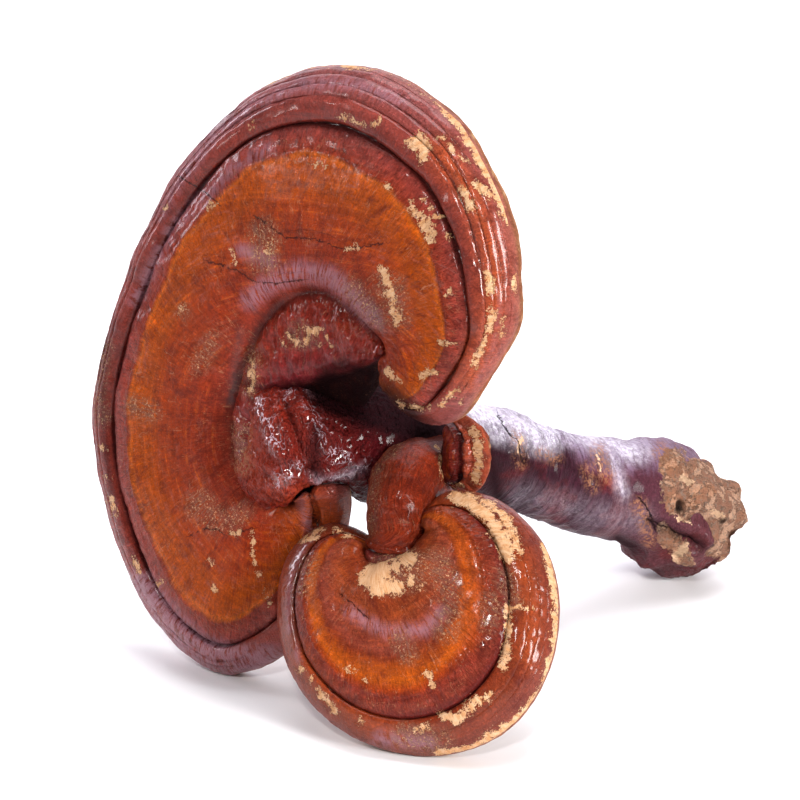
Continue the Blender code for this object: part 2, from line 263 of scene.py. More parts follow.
# Caps: their outlines in the face's own plane, in mm, station by station from one notch
# pit round to the other. Each row is the outer edge, the plateau's inner crease and the
# edge of the throat. Along them run the rim's width, how far the face is set back, how
# ridged the rim is, the depth of the underside and where the pale ring crosses the
# plateau. The pit is the level of both ends. Swell multiplies the heights inside the rim,
# thickness those of the rim, and lumps those of the slow unevenness.
LARGE = {
    "centre": (-18.4, 12.6, 58.7),
    "turn": 36.0,
    "tilt": 8.0,
    "outlines": (
        ((17.2, 18.8), (17.2, 18.8), (17.2, 18.8)),
        ((17.0, 15.4), (17.9, 19.9), (17.5, 19.5)),
        ((21.0, 8.6), (18.2, 20.2), (16.8, 19.1)),
        ((29.5, 7.3), (18.6, 20.6), (16.0, 18.6)),
        ((37.0, 13.7), (18.4, 21.4), (14.8, 17.8)),
        ((44.4, 30.3), (16.6, 23.0), (12.0, 15.8)),
        ((40.6, 50.6), (11.4, 26.2), (7.5, 13.0)),
        ((27.5, 67.8), (4.6, 29.0), (2.5, 10.8)),
        ((5.0, 75.6), (-1.8, 28.9), (-2.0, 8.8)),
        ((-20.0, 68.5), (-8.8, 24.7), (-6.4, 6.8)),
        ((-41.5, 47.0), (-14.0, 17.2), (-9.4, 4.8)),
        ((-54.6, 18.5), (-17.6, 7.0), (-12.6, 1.8)),
        ((-59.4, -9.0), (-18.2, -1.5), (-13.0, -2.8)),
        ((-52.8, -31.6), (-17.0, -8.2), (-12.2, -7.0)),
        ((-39.5, -51.0), (-13.6, -12.8), (-10.2, -9.8)),
        ((-21.5, -59.0), (-10.6, -15.0), (-8.8, -12.4)),
        ((-7.5, -52.0), (-8.8, -16.2), (-8.6, -15.1)),
        ((2.2, -37.2), (-8.0, -16.6), (-8.0, -15.9)),
        ((4.4, -23.6), (-5.2, -16.7), (-5.3, -16.3)),
        ((4.8, -11.8), (-3.8, -16.2), (-3.9, -15.9)),
        ((-2.8, -15.6), (-2.8, -15.6), (-2.8, -15.6)),
    ),
    "rim": (3.0, 3.6, 4.2, 5.4, 9.6, 12.0, 10.0, 8.8, 9.2, 9.6, 8.4, 6.0, 4.6, 4.0),
    "back": (0.0, 0.0, 0.0, 0.0, 0.0, 0.0, 0.0, 0.0, 0.0, 0.0, 0.6, 5.0, 5.0, 0.5),
    "pit": -3.0,
    "ridged": (0.3, 0.5, 0.7, 1.0, 0.8, 0.2, 0.1, 0.2),
    "thickness": 1.0,
    "swell": 1.0,
    "depth": (1.0, 1.0, 1.0, 1.0, 1.0, 1.0, 1.0, 1.0, 1.0, 0.6, 0.4),
    "lumps": 1.0,
    "ring": (1.70, 1.70, 1.71, 1.72, 1.72, 1.70, 1.68, 1.66),
    "rows": 455,
}
SMALL = {
    "centre": (1.0, -5.4, 26.6),
    "turn": 20.0,
    "tilt": 32.0,
    "outlines": (
        ((0.0, 17.5), (0.0, 17.5), (0.0, 17.5)),
        ((-0.2, 22.4), (1.1, 16.7), (0.5, 16.8)),
        ((5.6, 26.3), (1.2, 15.9), (0.2, 16.3)),
        ((16.0, 24.8), (1.0, 14.8), (-0.5, 15.6)),
        ((25.6, 17.2), (0.4, 13.2), (-1.2, 14.6)),
        ((30.8, 4.5), (-0.6, 11.2), (-2.3, 13.4)),
        ((30.3, -10.5), (-2.2, 9.4), (-3.6, 12.4)),
        ((22.0, -22.6), (-4.0, 8.4), (-4.8, 11.6)),
        ((8.0, -28.3), (-5.6, 8.1), (-6.0, 11.2)),
        ((-7.5, -26.6), (-7.1, 8.2), (-7.1, 10.9)),
        ((-20.5, -18.6), (-8.4, 8.6), (-8.1, 10.8)),
        ((-28.2, -5.0), (-9.2, 9.2), (-8.8, 11.0)),
        ((-27.8, 8.6), (-9.7, 9.8), (-9.1, 11.1)),
        ((-20.6, 15.8), (-9.9, 10.3), (-9.2, 11.2)),
        ((-12.6, 15.0), (-9.8, 10.8), (-9.2, 11.4)),
        ((-9.1, 11.9), (-9.1, 11.9), (-9.1, 11.9)),
    ),
    "rim": (2.6, 3.4, 5.6, 8.2, 9.4, 9.0, 7.4, 6.0, 6.2, 6.4, 5.6, 4.2, 3.0),
    "back": (0.0, 0.0),
    "pit": -2.0,
    "ridged": (0.2, 0.35, 0.35, 0.2, 0.1, 0.0, 0.1, 0.2),
    "thickness": 1.0,
    "swell": 1.0,
    "depth": (1.0, 1.0),
    "lumps": 0.25,
    "ring": (1.50, 1.52, 1.60, 1.68, 1.75, 1.72, 1.68, 1.62),
    "rows": 420,
}

# A cap's section. Across runs 0 at the throat's edge, 1 at the crease, 2 at the deep
# groove and 3 at the outer edge; heights are mm above the face's plane.
WALL = ((-0.60, -11.4), (-0.40, -8.2), (-0.10, -4.6), (0.0, -2.6))
MOUND = (
    (0.0, -2.6), (0.04, -0.6), (0.14, 1.3), (0.30, 2.4), (0.52, 2.9), (0.74, 2.8), (0.92, 2.2), (1.0, 1.5),
)
PLATEAU = (
    (1.0, 1.5), (1.02, 1.9), (1.06, 3.0), (1.12, 4.2), (1.20, 5.0), (1.33, 5.6), (1.46, 5.7), (1.60, 5.5),
    (1.74, 5.0), (1.80, 4.8), (1.86, 4.4), (1.92, 3.8), (1.96, 3.3), (1.985, 2.7), (2.0, 1.6),
)
ROLL_EDGES = (2.0, 2.48, 2.68, 2.84, 2.95, 3.0)
ROLL_FEET = (1.6, 1.8, 0.9, -0.5, -1.9, -3.6)
ROLL_RISE = (1.7, 0.85, 0.75, 0.50, 0.25)
ROLL_POINTS = (30, 16, 14, 11, 8)
ONE_ROLL_RISE = 2.7
UNDER = (
    (3.00, -3.6), (3.00, -4.8), (2.95, -6.2), (2.84, -7.3), (2.60, -7.8), (2.30, -8.0), (1.85, -8.3),
    (1.40, -8.8), (1.00, -9.3), (0.60, -9.8), (0.00, -10.6), (-0.60, -11.4),
)
# Marks lie on the columns before TOP_END, and POINTS are the columns of each part. A rim
# is at its full height when FULL_RIM mm wide, its arches are bent by ARCH_POWER, and it
# takes at most RIM_SHARE of the way to the crease. The section grows to its height over
# RELIEF_REACH mm. RIM_WAVES are heights in mm, half turns along the cap and shifts across.
TOP_END = 3.02
WALL_POINTS = 7
MOUND_POINTS = 28
PLATEAU_POINTS = 66
UNDER_POINTS = 34
ARCH_POWER = 2.4
FULL_RIM = 8.0
RELIEF_REACH = 6.0
RIM_SHARE = 0.42
RIM_WAVES = ((0.45, 9.0, 1.0), (0.30, 21.0, -2.0))
RING_ZONE = 1.7


def face_axes(turn, tilt):
    """Right, upper and outward directions of a face turned to the left and tilted up, in degrees."""
    a, t = math.radians(turn), math.radians(tilt)
    outward = np.array([-math.sin(a) * math.cos(t), -math.cos(a) * math.cos(t), math.sin(t)])
    right = np.array([math.cos(a), -math.sin(a), 0.0])
    return right, np.cross(outward, right), outward


def cap_columns():
    """Places across the top of a cap's section, and shares of the way back along its underside."""
    top = [np.linspace(WALL[0][0], 0.0, WALL_POINTS, endpoint=False)]
    top += [spaced(0.0, 1.0, MOUND_POINTS), spaced(1.0, 2.0, PLATEAU_POINTS)]
    top += [spaced(a, b, n) for a, b, n in zip(ROLL_EDGES, ROLL_EDGES[1:], ROLL_POINTS)]
    return np.concatenate(top), np.linspace(0.0, 1.0, UNDER_POINTS)


def arch(x):
    """A round arch over 0 to 1: (1 - |2x - 1| ** p) ** (1 / p), with p a little over a circle's 2."""
    return (1.0 - np.abs(2.0 * x - 1.0) ** ARCH_POWER).clip(0.0) ** (1.0 / ARCH_POWER)


def rim_height(across, width, ridged):
    """Height of the rim: a mix of one wide roll and of several ridges, by how ridged it is.

    The ridges are a straight line between their feet plus an arch on each; the
    wide roll is one such arch over the whole rim. Both are lower where the rim
    is narrow.
    """
    k = np.clip(np.searchsorted(ROLL_EDGES, across, side="right") - 1, 0, len(ROLL_RISE) - 1)
    edges, feet, rise = np.array(ROLL_EDGES), np.array(ROLL_FEET), np.array(ROLL_RISE)
    x = (across - edges[k]) / (edges[k + 1] - edges[k])
    full = np.clip(width / FULL_RIM, 0.25, 1.1)[:, None]
    ridges = feet[k] + (feet[k + 1] - feet[k]) * x
    ridges = ridges + rise[k] * arch(x) * np.where(k > 0, full, 0.5 + 0.5 * full)
    y = across - 2.0
    whole = feet[0] + (feet[-1] - feet[0]) * y + ONE_ROLL_RISE * arch(y) * (0.4 + 0.6 * full)
    return whole + (ridges - whole) * ridged[:, None]


def cap_surface(plan):
    """Grid of a cap's points, and the fields that its finish reads.

    A station s gives the outer edge, the crease and the throat's edge on smooth
    curves through the outlines. The groove lies the rim's width inside the edge.
    Each column is a straight mix of two of these in the face's plane, raised by
    the section's height, which fades to the pit's level as the section shortens.
    """
    s = np.linspace(0.0, 1.0, plan["rows"])
    outlines = np.array(plan["outlines"]).reshape(len(plan["outlines"]), 6)
    drawn = through(outlines, s)
    edge, crease, throat = drawn[:, 0:2], drawn[:, 2:4], drawn[:, 4:6]
    reach = np.linalg.norm(edge - crease, axis=1)
    width = np.minimum(through(plan["rim"], s), RIM_SHARE * reach)
    groove = edge + (crease - edge) * (width / np.maximum(reach, 1e-3))[:, None]
    relief = (1.0 - np.exp(-reach / RELIEF_REACH))[:, None]
    set_back = through(plan["back"], s)[:, None]
    top, under = cap_columns()
    lower = through(np.array(UNDER), under)

    def plane_mix(across):
        """Points of the face's plane, straight between the two curves that a column lies between."""
        band = np.clip(across.astype(int), 0, 2)
        stack = np.stack([throat, crease, groove, edge], axis=1)
        inner, outer = stack[:, band], stack[:, band + 1]
        return inner + (outer - inner) * (across - band)[:, None]

    height = np.where(top < 0.0, profile(WALL, top), profile(MOUND, top))
    height = np.where(top > 1.0, profile(PLATEAU, top), height)
    height = np.where(top[None] > 2.0, rim_height(top, width, through(plan["ridged"], s)), height[None])
    across = np.concatenate([top, lower[:, 0]])
    deep = UNDER[0][1] + (lower[:, 1] - UNDER[0][1]) * through(plan["depth"], s)[:, None]
    level = np.concatenate([height, deep], axis=1)
    around = math.pi * s[:, None]
    wave = sum(high * np.sin(turns * around + shift * across) for high, turns, shift in RIM_WAVES)
    wave = wave * (across / 3.0) ** 2
    fullness = np.where(across < 2.2, plan["swell"], plan["thickness"])
    level = plan["pit"] + ((level + wave) * fullness - plan["pit"]) * relief - set_back
    flat = np.concatenate([plane_mix(across), level[..., None]], axis=-1)
    axes = face_axes(plan["turn"], plan["tilt"])
    points = np.asarray(plan["centre"]) + flat @ np.stack(axes)

    mark = np.concatenate([top, 3.0 + under])
    run = np.cumsum(np.linalg.norm(np.diff(points, axis=1, prepend=points[:, :1]), axis=-1), axis=1)
    girth = np.linalg.norm(np.diff(edge, axis=0), axis=1).sum()
    grain = np.stack([np.broadcast_to(s[:, None] * girth, run.shape), run, np.zeros_like(run)], axis=-1)
    # zones of colour follow the pale ring, which doesn't keep one share of the plateau's width
    ring = through(plan["ring"], s)[:, None]
    inner = 1.0 + (mark - 1.0) * (RING_ZONE - 1.0) / (ring - 1.0)
    outer = RING_ZONE + (mark - ring) * (2.0 - RING_ZONE) / (2.0 - ring)
    zone = np.where((mark > 1.0) & (mark < 2.0), np.where(mark < ring, inner, outer), mark)
    return points, np.broadcast_to(mark, run.shape), zone, grain, relief, axes


def folds(places, chains):
    """Push of folds, in mm: for each chain its height times a bell of the distance to it, in pixels."""
    push = np.zeros(places.shape[:-1])
    for height, width, *chain in chains:
        away = -stroke_reach(places, ((0.0, *chain),))
        push = push + height * np.exp(-((away / width) ** 2))
    return push


def shown(normal):
    """1 where a surface faces the camera, 0 where it faces away, with a soft turn between."""
    return step(-(normal @ camera_axes()[2]), -0.10, 0.20)


def soft(places, strokes, edge):
    """0 outside the strokes, 1 inside, with a soft edge this many pixels wide on each side.

    A stroke whose radius is less than the edge stays below full strength.
    """
    return step(stroke_reach(places, strokes), -edge, edge)


def marked(places, marks, edges, where):
    """Fields of the marks where they can be seen: soft strokes, peeled places and cracks.

    A soft stroke is a share from 0 to 1, with an edge of its own. A peeled place
    is its depth inside the strokes, and a crack the distance to its chain.
    """
    fields = {key: soft(places, marks.get(key, ()), edge) * where for key, edge in edges.items()}
    fields["peel"] = np.where(where > 0.5, stroke_reach(places, marks.get("peel", ())), FAR_OUT)
    fields["crack"] = np.where(where > 0.5, stroke_side(places, marks.get("cracks", ())), CRACK_REACH)
    return fields


# Widths of the marks' soft edges, in pixels
CAP_EDGES = {"scuff": 7.0, "painted_reflection": 8.0, "wet": 7.0, "shade": 10.0}
STEM_EDGES = {"scuff": 6.0, "ember": 12.0, "wet": 8.0, "shade": 10.0, "pit": 2.0}


def cap_piece(name, plan, marks, seed):
    """A cap: its surface, moved along its normals, and the marks seen on it.

    The move is a sum of slow lumps, wrinkles along the radius on the slope and
    the rim, crumples on the plateau and the mound, faint growth waves, a lip
    beside the pale ring, and the folds. It fades where the section shortens.
    """
    points, across, zone, grain, relief, axes = cap_surface(plan)
    middle = np.asarray(plan["centre"]) - 3.0 * axes[2]
    normal = outward_normals(points, middle)
    top = across < TOP_END
    slope = step(across, 1.72, 1.84) * (1.0 - step(across, 1.96, 2.0))
    rim = step(across, 2.0, 2.1) * top
    mound = step(across, 0.05, 0.3) * (1.0 - step(across, 0.85, 1.0))
    lumps = plan["lumps"]
    lift = lumps * (0.30 * ripple(points, 19.0, seed) + 0.06 * ripple(points, 7.0, seed + 1))
    lift += 0.03 * ripple(points, 2.6, seed + 5)
    spokes = grain * np.array([1.0, 0.22, 0.0]) + 0.9 * ripple(points, 9.0, seed + 6)[..., None]
    lift += (0.12 * slope + 0.04 * rim) * crumple(spokes, 1.9, seed + 2)
    lift += 0.05 * step(across, 1.0, 1.2) * (1.0 - slope) * crumple(points, 6.0, seed + 8) * lumps
    lift += lumps * mound * (0.34 * crumple(points, 5.5, seed + 3) + 0.18 * crumple(points, 2.2, seed + 7))
    growth = grain[..., 1] * 2.0 * math.pi / 2.6 + ripple(points, 20.0, seed + 4)
    lift += 0.05 * bell(across, 1.45, 0.4) * np.sin(growth)
    lift += 0.22 * bell(zone, 1.83, 0.012) - 0.10 * bell(zone, 1.80, 0.02)
    seen = photo_place(points)
    lift += folds(seen, marks["folds"]) * top
    points = points + normal * (lift * relief)[..., None]
    # a redder tint; at the lower lobe's end it also lightens the colour as painted light
    tinted_and_lit = soft(seen, marks.get("tinted_and_lit", ()), 22.0) * shown(normal)
    zone = np.minimum(zone, 4.0 - 1.6 * tinted_and_lit)
    fields = {"zone": zone, "grain": grain, "tinted_and_lit": tinted_and_lit, **marked(seen, marks, CAP_EDGES, top)}
    return skin(name, points, fields)


# Marks, where the photograph shows them, in its pixels: each row is a stroke's radius and
# the chain of places along it. A fold has its height in mm and its width first, and a
# crack is a bare chain.
LARGE_MARKS = {
    "peel": (
        (1.8, (339, 117), (350, 117), (357, 123), (371, 127), (375, 123), (381, 119)),
        (5.2, (412, 143), (420, 138), (425, 149), (422, 158)), (3.0, (410, 146), (416, 150)),
        (2.0, (438, 137), (444, 138)), (3.0, (449, 142), (452, 146)), (2.2, (455, 151)),
        (3.2, (461, 157), (464, 160)), (5.0, (463, 190), (466, 199), (472, 208)),
        (3.6, (476, 184), (484, 189), (489, 195)), (2.0, (411, 209), (412, 203)),
        (4.6, (416, 213), (424, 221), (430, 229), (431, 238)), (2.4, (389, 186)),
        (1.8, (422, 200), (425, 199)), (2.4, (432, 208)), (2.4, (436, 216), (440, 217)),
        (2.0, (446, 238), (450, 236)), (1.9, (312, 164), (325, 166)), (2.0, (319, 160), (321, 166)),
        (1.4, (344, 250), (358, 248)), (4.0, (489, 275), (491, 290)), (1.8, (514, 277), (515, 293)),
        (3.2, (450, 292)), (3.0, (381, 270), (388, 284), (394, 303), (398, 322)),
        (2.2, (386, 290), (391, 300), (402, 318)), (2.0, (288, 336), (296, 343), (303, 346)),
        (1.6, (301, 344), (309, 338), (308, 330), (316, 332), (321, 329)),
        (1.2, (281, 342), (286, 346)), (1.4, (326, 338), (329, 346)), (2.0, (316, 346)),
        (2.6, (253, 362), (252, 375), (252, 388)), (2.0, (387, 371), (393, 377), (400, 379)),
        (2.2, (399, 401), (402, 405)), (1.9, (411, 407), (428, 407)),
        (2.0, (441, 405), (448, 398), (456, 390)), (1.4, (462, 402)),
        (3.2, (492, 310), (490, 325), (483, 345), (475, 365)), (1.8, (503, 318), (500, 336)),
        (1.6, (440, 343), (456, 343)), (2.2, (420, 376), (433, 372)), (1.8, (166, 206), (164, 210)),
        (1.6, (253, 122), (253, 129)), (2.4, (102, 448)), (2.4, (108, 478)),
        (2.2, (111, 497), (116, 515)), (1.6, (184, 307), (180, 314)), (1.4, (211, 204), (208, 208)),
        (1.4, (231, 252), (233, 262)), (2.2, (266, 243), (268, 254)),
        (0.6, (252, 531), (254, 562), (260, 577)), (1.3, (224, 534), (240, 533)),
        (0.9, (265, 592), (270, 604)), (1.8, (208, 560), (212, 566)), (1.6, (215, 588)),
        (2.0, (160, 583)), (1.4, (133, 560), (140, 575)), (2.6, (262, 84), (300, 66), (345, 62)),
        (4.6, (345, 65), (378, 63), (410, 76), (440, 99), (470, 139), (492, 178), (508, 219)),
    ),
    "scuff": (
        (16.0, (262, 235), (264, 258)), (9.0, (242, 428), (243, 460)), (14.0, (300, 336)),
        (14.0, (200, 505), (214, 520)), (10.0, (228, 520), (243, 512)), (10.0, (352, 288), (378, 318)),
        (9.0, (396, 285), (402, 320)), (7.0, (253, 355), (250, 390)), (10.0, (135, 405), (150, 412)),
        (8.0, (212, 340), (200, 365)), (7.0, (183, 312)), (6.0, (106, 345), (98, 390), (103, 420)),
        (7.0, (380, 280), (388, 300), (396, 320)),
    ),
    # painted reflection: pale lilac streaks on slopes and rim ridges, and a lighter lower rim
    "painted_reflection": (
        (9.0, (250, 300), (268, 284), (300, 270), (330, 277), (352, 296), (372, 318)),
        (6.0, (240, 250), (270, 262)),
        (4.0, (134, 300), (150, 272), (172, 228), (209, 192), (236, 166), (270, 148)),
        (3.0, (160, 215), (185, 172)), (18.0, (140, 590), (190, 646), (230, 664), (268, 664)),
        (-2.0, (500, 300), (492, 350), (476, 385)), (4.0, (301, 498), (311, 532)),
        (5.0, (185, 172), (212, 136), (250, 106), (300, 84), (350, 84), (400, 100)),
    ),
    "wet": (
        (3.0, (452, 180), (470, 215), (480, 255), (482, 300), (474, 335)),
        (2.0, (240, 330), (234, 370), (232, 400)), (2.0, (372, 300), (384, 330)),
    ),
    "shade": (
        (8.0, (326, 372), (350, 366), (372, 376)),
        (1.0, (116, 320), (108, 345), (102, 400), (104, 450), (112, 490)),
        (18.0, (330, 385), (345, 392), (385, 400), (410, 425)),
        (2.0, (244, 384), (262, 388), (300, 382)),
    ),
    "tinted_and_lit": (
        (12.0, (440, 150), (476, 200), (496, 270), (492, 330), (470, 380)),
        # this stroke also lightens the lower lobe's end as painted light, where the stem's shade falls
        (20.0, (300, 505), (322, 520), (334, 520)),
    ),
    "folds": (
        (-1.5, 4.0, (308, 486), (313, 503), (318, 528)),
        (-0.5, 5.0, (220, 510), (241, 497), (263, 483), (276, 469)),
        (0.4, 5.0, (232, 516), (252, 504), (274, 492)),
        (-0.5, 5.0, (297, 512), (293, 545), (285, 580), (278, 600)),
        (-0.4, 3.0, (390, 358), (378, 375), (374, 385)), (0.5, 8.0, (262, 330), (285, 318), (330, 322)),
        (-0.5, 7.0, (250, 352), (290, 352), (330, 348)),
        (2.6, 13.0, (254, 405), (252, 440), (256, 470), (272, 492)),
        (1.8, 11.0, (312, 494), (330, 496), (337, 512)),
    ),
    "cracks": (
        ((209, 262), (224, 266), (239, 272), (250, 279), (259, 282), (276, 283), (302, 279)),
        ((250, 214), (262, 221), (276, 231), (284, 238), (300, 238), (315, 239), (341, 249),
         (362, 247), (384, 243)),
        ((195, 186), (208, 195), (216, 203)),
        ((188, 537), (205, 529), (217, 530), (224, 535), (238, 532), (253, 528)),
        # from (308, 491) the chain is no crack but a dark line painted as shade in the groove of the lower
        # lobe's end
        ((181, 178), (196, 187)), ((308, 491), (312, 504), (316, 514), (318, 528)),
    ),
}
SMALL_MARKS = {
    "peel": (
        (12.5, (372, 580), (385, 576)), (7.0, (378, 592), (400, 590)), (6.0, (391, 592)),
        (5.0, (402, 573)), (7.0, (412, 566), (417, 561)), (4.0, (415, 584)), (2.4, (423, 587)),
        (7.0, (455, 497), (470, 503), (485, 513), (494, 525), (502, 540), (507, 556)),
        (3.2, (468, 494), (492, 506), (508, 520)), (3.6, (500, 515), (512, 532), (520, 552)),
        (4.2, (508, 610), (507, 640), (504, 665)), (2.2, (518, 607), (533, 609)),
        (5.0, (444, 716), (456, 720), (465, 712), (477, 700)), (3.4, (417, 729), (425, 726)),
        (2.2, (488, 698), (492, 694)), (4.2, (428, 675)), (2.2, (432, 685)),
        (1.8, (345, 669), (355, 672)), (1.8, (365, 679)), (4.2, (302, 669)), (2.2, (311, 680)),
        (2.5, (318, 691), (326, 700), (335, 710)), (2.6, (361, 721)),
        (3.4, (305, 540), (314, 534), (321, 529)), (1.4, (325, 530), (340, 530)),
        (1.4, (345, 536), (353, 534)),
        (3.6, (545, 547), (556, 600), (554, 650), (542, 690), (512, 724), (470, 748), (440, 753)),
    ),
    "scuff": (
        (22.0, (390, 575), (410, 570)), (10.0, (492, 600), (488, 622)), (9.0, (505, 575), (512, 600)),
        (12.0, (405, 735), (440, 742)), (9.0, (400, 640), (408, 655)),
        (12.0, (438, 560), (452, 600), (446, 630)), (6.0, (312, 560), (305, 590)),
    ),
    # painted reflection: pale marks where the disc and the left rim catch the light
    "painted_reflection": (
        (5.0, (350, 612), (385, 632), (425, 630), (440, 612)), (6.0, (380, 738), (430, 744)),
        (0.0, (304, 545), (290, 580), (288, 620), (298, 660)),
    ),
    "wet": (
        (2.0, (478, 570), (490, 610), (482, 650)), (1.0, (300, 560), (292, 600), (296, 640)),
        (1.0, (455, 560), (462, 590)),
    ),
    "tinted_and_lit": (
        (4.0, (442, 510), (470, 550), (478, 600), (466, 640)),
        (2.0, (520, 560), (535, 610), (528, 660)), (0.0, (300, 650), (330, 700), (400, 738)),
    ),
    "folds": (
        (-0.55, 3.5, (421, 532), (437, 526), (455, 535), (467, 558), (470, 581)),
        (2.8, 20.0, (378, 586), (400, 572), (425, 568)),
        (-0.5, 6.0, (336, 590), (338, 612), (352, 632), (385, 646), (420, 636), (438, 610), (440, 585)),
        (-0.25, 2.0, (340, 595), (350, 606), (367, 618)),
    ),
    "cracks": (
        ((340, 594), (352, 603), (358, 609), (367, 618)),
    ),
}

# Axis and radius at each station, in mm: the stem's from its top to the cut base, the
# branch stem's from its root to the small cap. Normals face away from each one's middle.
STEM_STATIONS = (
    (-26.4, 15.8, 54.0, 12.6),
    (-12.6, 24.6, 51.2, 12.7),
    (-4.2, 30.0, 49.8, 13.2),
    (12.9, 41.2, 43.4, 10.9),
    (21.7, 46.9, 39.8, 10.4),
    (30.7, 52.7, 33.6, 9.5),
    (39.9, 58.7, 28.6, 10.4),
    (46.9, 63.2, 26.3, 11.0),
    (56.4, 69.4, 21.6, 12.8),
    (64.2, 74.5, 14.8, 13.2),
    (70.4, 78.5, 11.6, 11.5),
)
STEM_MIDDLE = np.array([20.0, 46.0, 40.0])
BRANCH_STATIONS = (
    (11.0, 33.5, 45.5, 6.4),
    (7.0, 23.0, 46.6, 7.0),
    (2.2, 13.4, 48.4, 7.4),
    (0.2, 7.2, 46.8, 6.8),
    (-0.5, 4.6, 43.6, 6.2),
    (-0.6, 3.3, 40.0, 6.0),
    (-0.8, 2.9, 37.4, 5.9),
)
BRANCH_MIDDLE = np.array([3.0, 15.0, 47.0])


def tube_surface(stations, rings, sides, dome, dome_rings, end_rings):
    """Grid round a tapering tube, its place along (0 to 1), its turn round the axis, and its grain.

    A point is the axis plus the radius times cosine of the turn sideways and
    sine of the turn upwards. The start is a rounded dome, whose rings step out
    by the sine of an angle and shrink by its cosine to the power 0.7. The far
    end is flat: its rings shrink in even steps to the middle.
    """
    places = np.linspace(0.0, 1.0, rings)
    path = through(stations, places)
    axis, radius = path[:, :3], path[:, 3]
    start = axis[0] - axis[1]
    start /= np.linalg.norm(start)
    lift = np.linspace(math.pi / 2.0, 0.0, dome_rings, endpoint=False)
    shrink = 1.0 - np.arange(1, end_rings + 1) / end_rings
    dome_axis = axis[0] + start * (dome * np.sin(lift))[:, None]
    axis = np.concatenate([dome_axis, axis, np.repeat(axis[-1:], end_rings, 0)])
    radius = np.concatenate([radius[0] * np.cos(lift) ** 0.7, radius, radius[-1] * shrink])
    place = np.concatenate([-lift * 0.05, places, 1.0 + 0.1 * (1.0 - shrink)])
    tangent = np.pad(np.gradient(path[:, :3], axis=0), ((dome_rings, end_rings), (0, 0)), mode="edge")
    tangent /= np.linalg.norm(tangent, axis=1, keepdims=True)
    side = np.cross(tangent, [0.0, 0.0, 1.0])
    side /= np.linalg.norm(side, axis=1, keepdims=True)
    upper = np.cross(side, tangent)
    turn = np.linspace(-math.pi, math.pi, sides, endpoint=False)
    ring = np.cos(turn)[None, :, None] * side[:, None] + np.sin(turn)[None, :, None] * upper[:, None]
    points = axis[:, None] + radius[:, None, None] * ring
    run = np.cumsum(np.linalg.norm(np.diff(axis, axis=0, prepend=axis[:1]), axis=1))
    shape = points.shape[:2]
    grain = np.stack([
        np.broadcast_to(turn[None] * radius.mean(), shape),
        np.broadcast_to(run[:, None], shape),
        np.zeros(shape),
    ], axis=-1)
    return points, np.broadcast_to(place[:, None], shape), np.broadcast_to(turn[None], shape), grain


def stem_piece():
    """The stem, moved along its normals: crumpled and folded at its knob, crumpled
    across its middle, and lumpy at its base. The table flattens what would be below it.
    """
    points, place, turn, grain = tube_surface(STEM_STATIONS, 340, 240, 5.0, 26, 26)
    knob = 1.0 - step(place, 0.05, 0.22)
    middle = bell(place, 0.46, 0.10)
    base = step(place, 0.70, 0.90)
    round_trip = np.stack([np.cos(turn), np.sin(turn), place], axis=-1)
    swell = np.array([0.35, 0.35, 14.0])
    arcs = np.array([1.2, 1.2, 16.0])
    lift = 0.30 * np.sin(2.0 * turn + 6.0 * place) + 0.35 * middle * crumple(round_trip * swell, 0.50, 31)
    lift += base * (0.75 * np.sin(3.0 * turn + 7.0 * place) + 0.45 * np.sin(5.0 * turn - 9.0 * place))
    lift += (0.04 + 0.12 * middle) * crumple(round_trip * arcs, 1.0, 32) * (1.0 - knob)
    lift += 0.95 * base * ripple(points, 9.0, 33) + 0.22 * base * crumple(points, 4.0, 34)
    lift += 0.10 * base * crumple(points, 1.6, 35)
    lift += knob * (0.24 * crumple(points, 5.0, 36) + 0.17 * crumple(points, 2.1, 37))
    normal = outward_normals(points, STEM_MIDDLE)
    seen = photo_place(points)
    lift += folds(seen, STEM_MARKS["folds"])
    points = points + normal * lift[..., None]
    points[..., 2] = np.maximum(points[..., 2], 0.0)
    fields = {
        "place": place,
        "grain": grain,
        "upper": normal[..., 2],
        "cork": soft(seen, STEM_MARKS["cork"], 9.0) * (1.0 - soft(seen, STEM_MARKS["nodule"], 3.0)),
        # painted highlight on the stem's top, and at 0.15 a painted reflection of the table below
        "painted_highlight": soft(seen, STEM_MARKS["painted_highlight"], 14.0) + 0.15 * soft(seen, STEM_MARKS["haze"], 14.0),
        **marked(seen, STEM_MARKS, STEM_EDGES, shown(normal)),
    }
    return skin("stem_skin", points, fields)


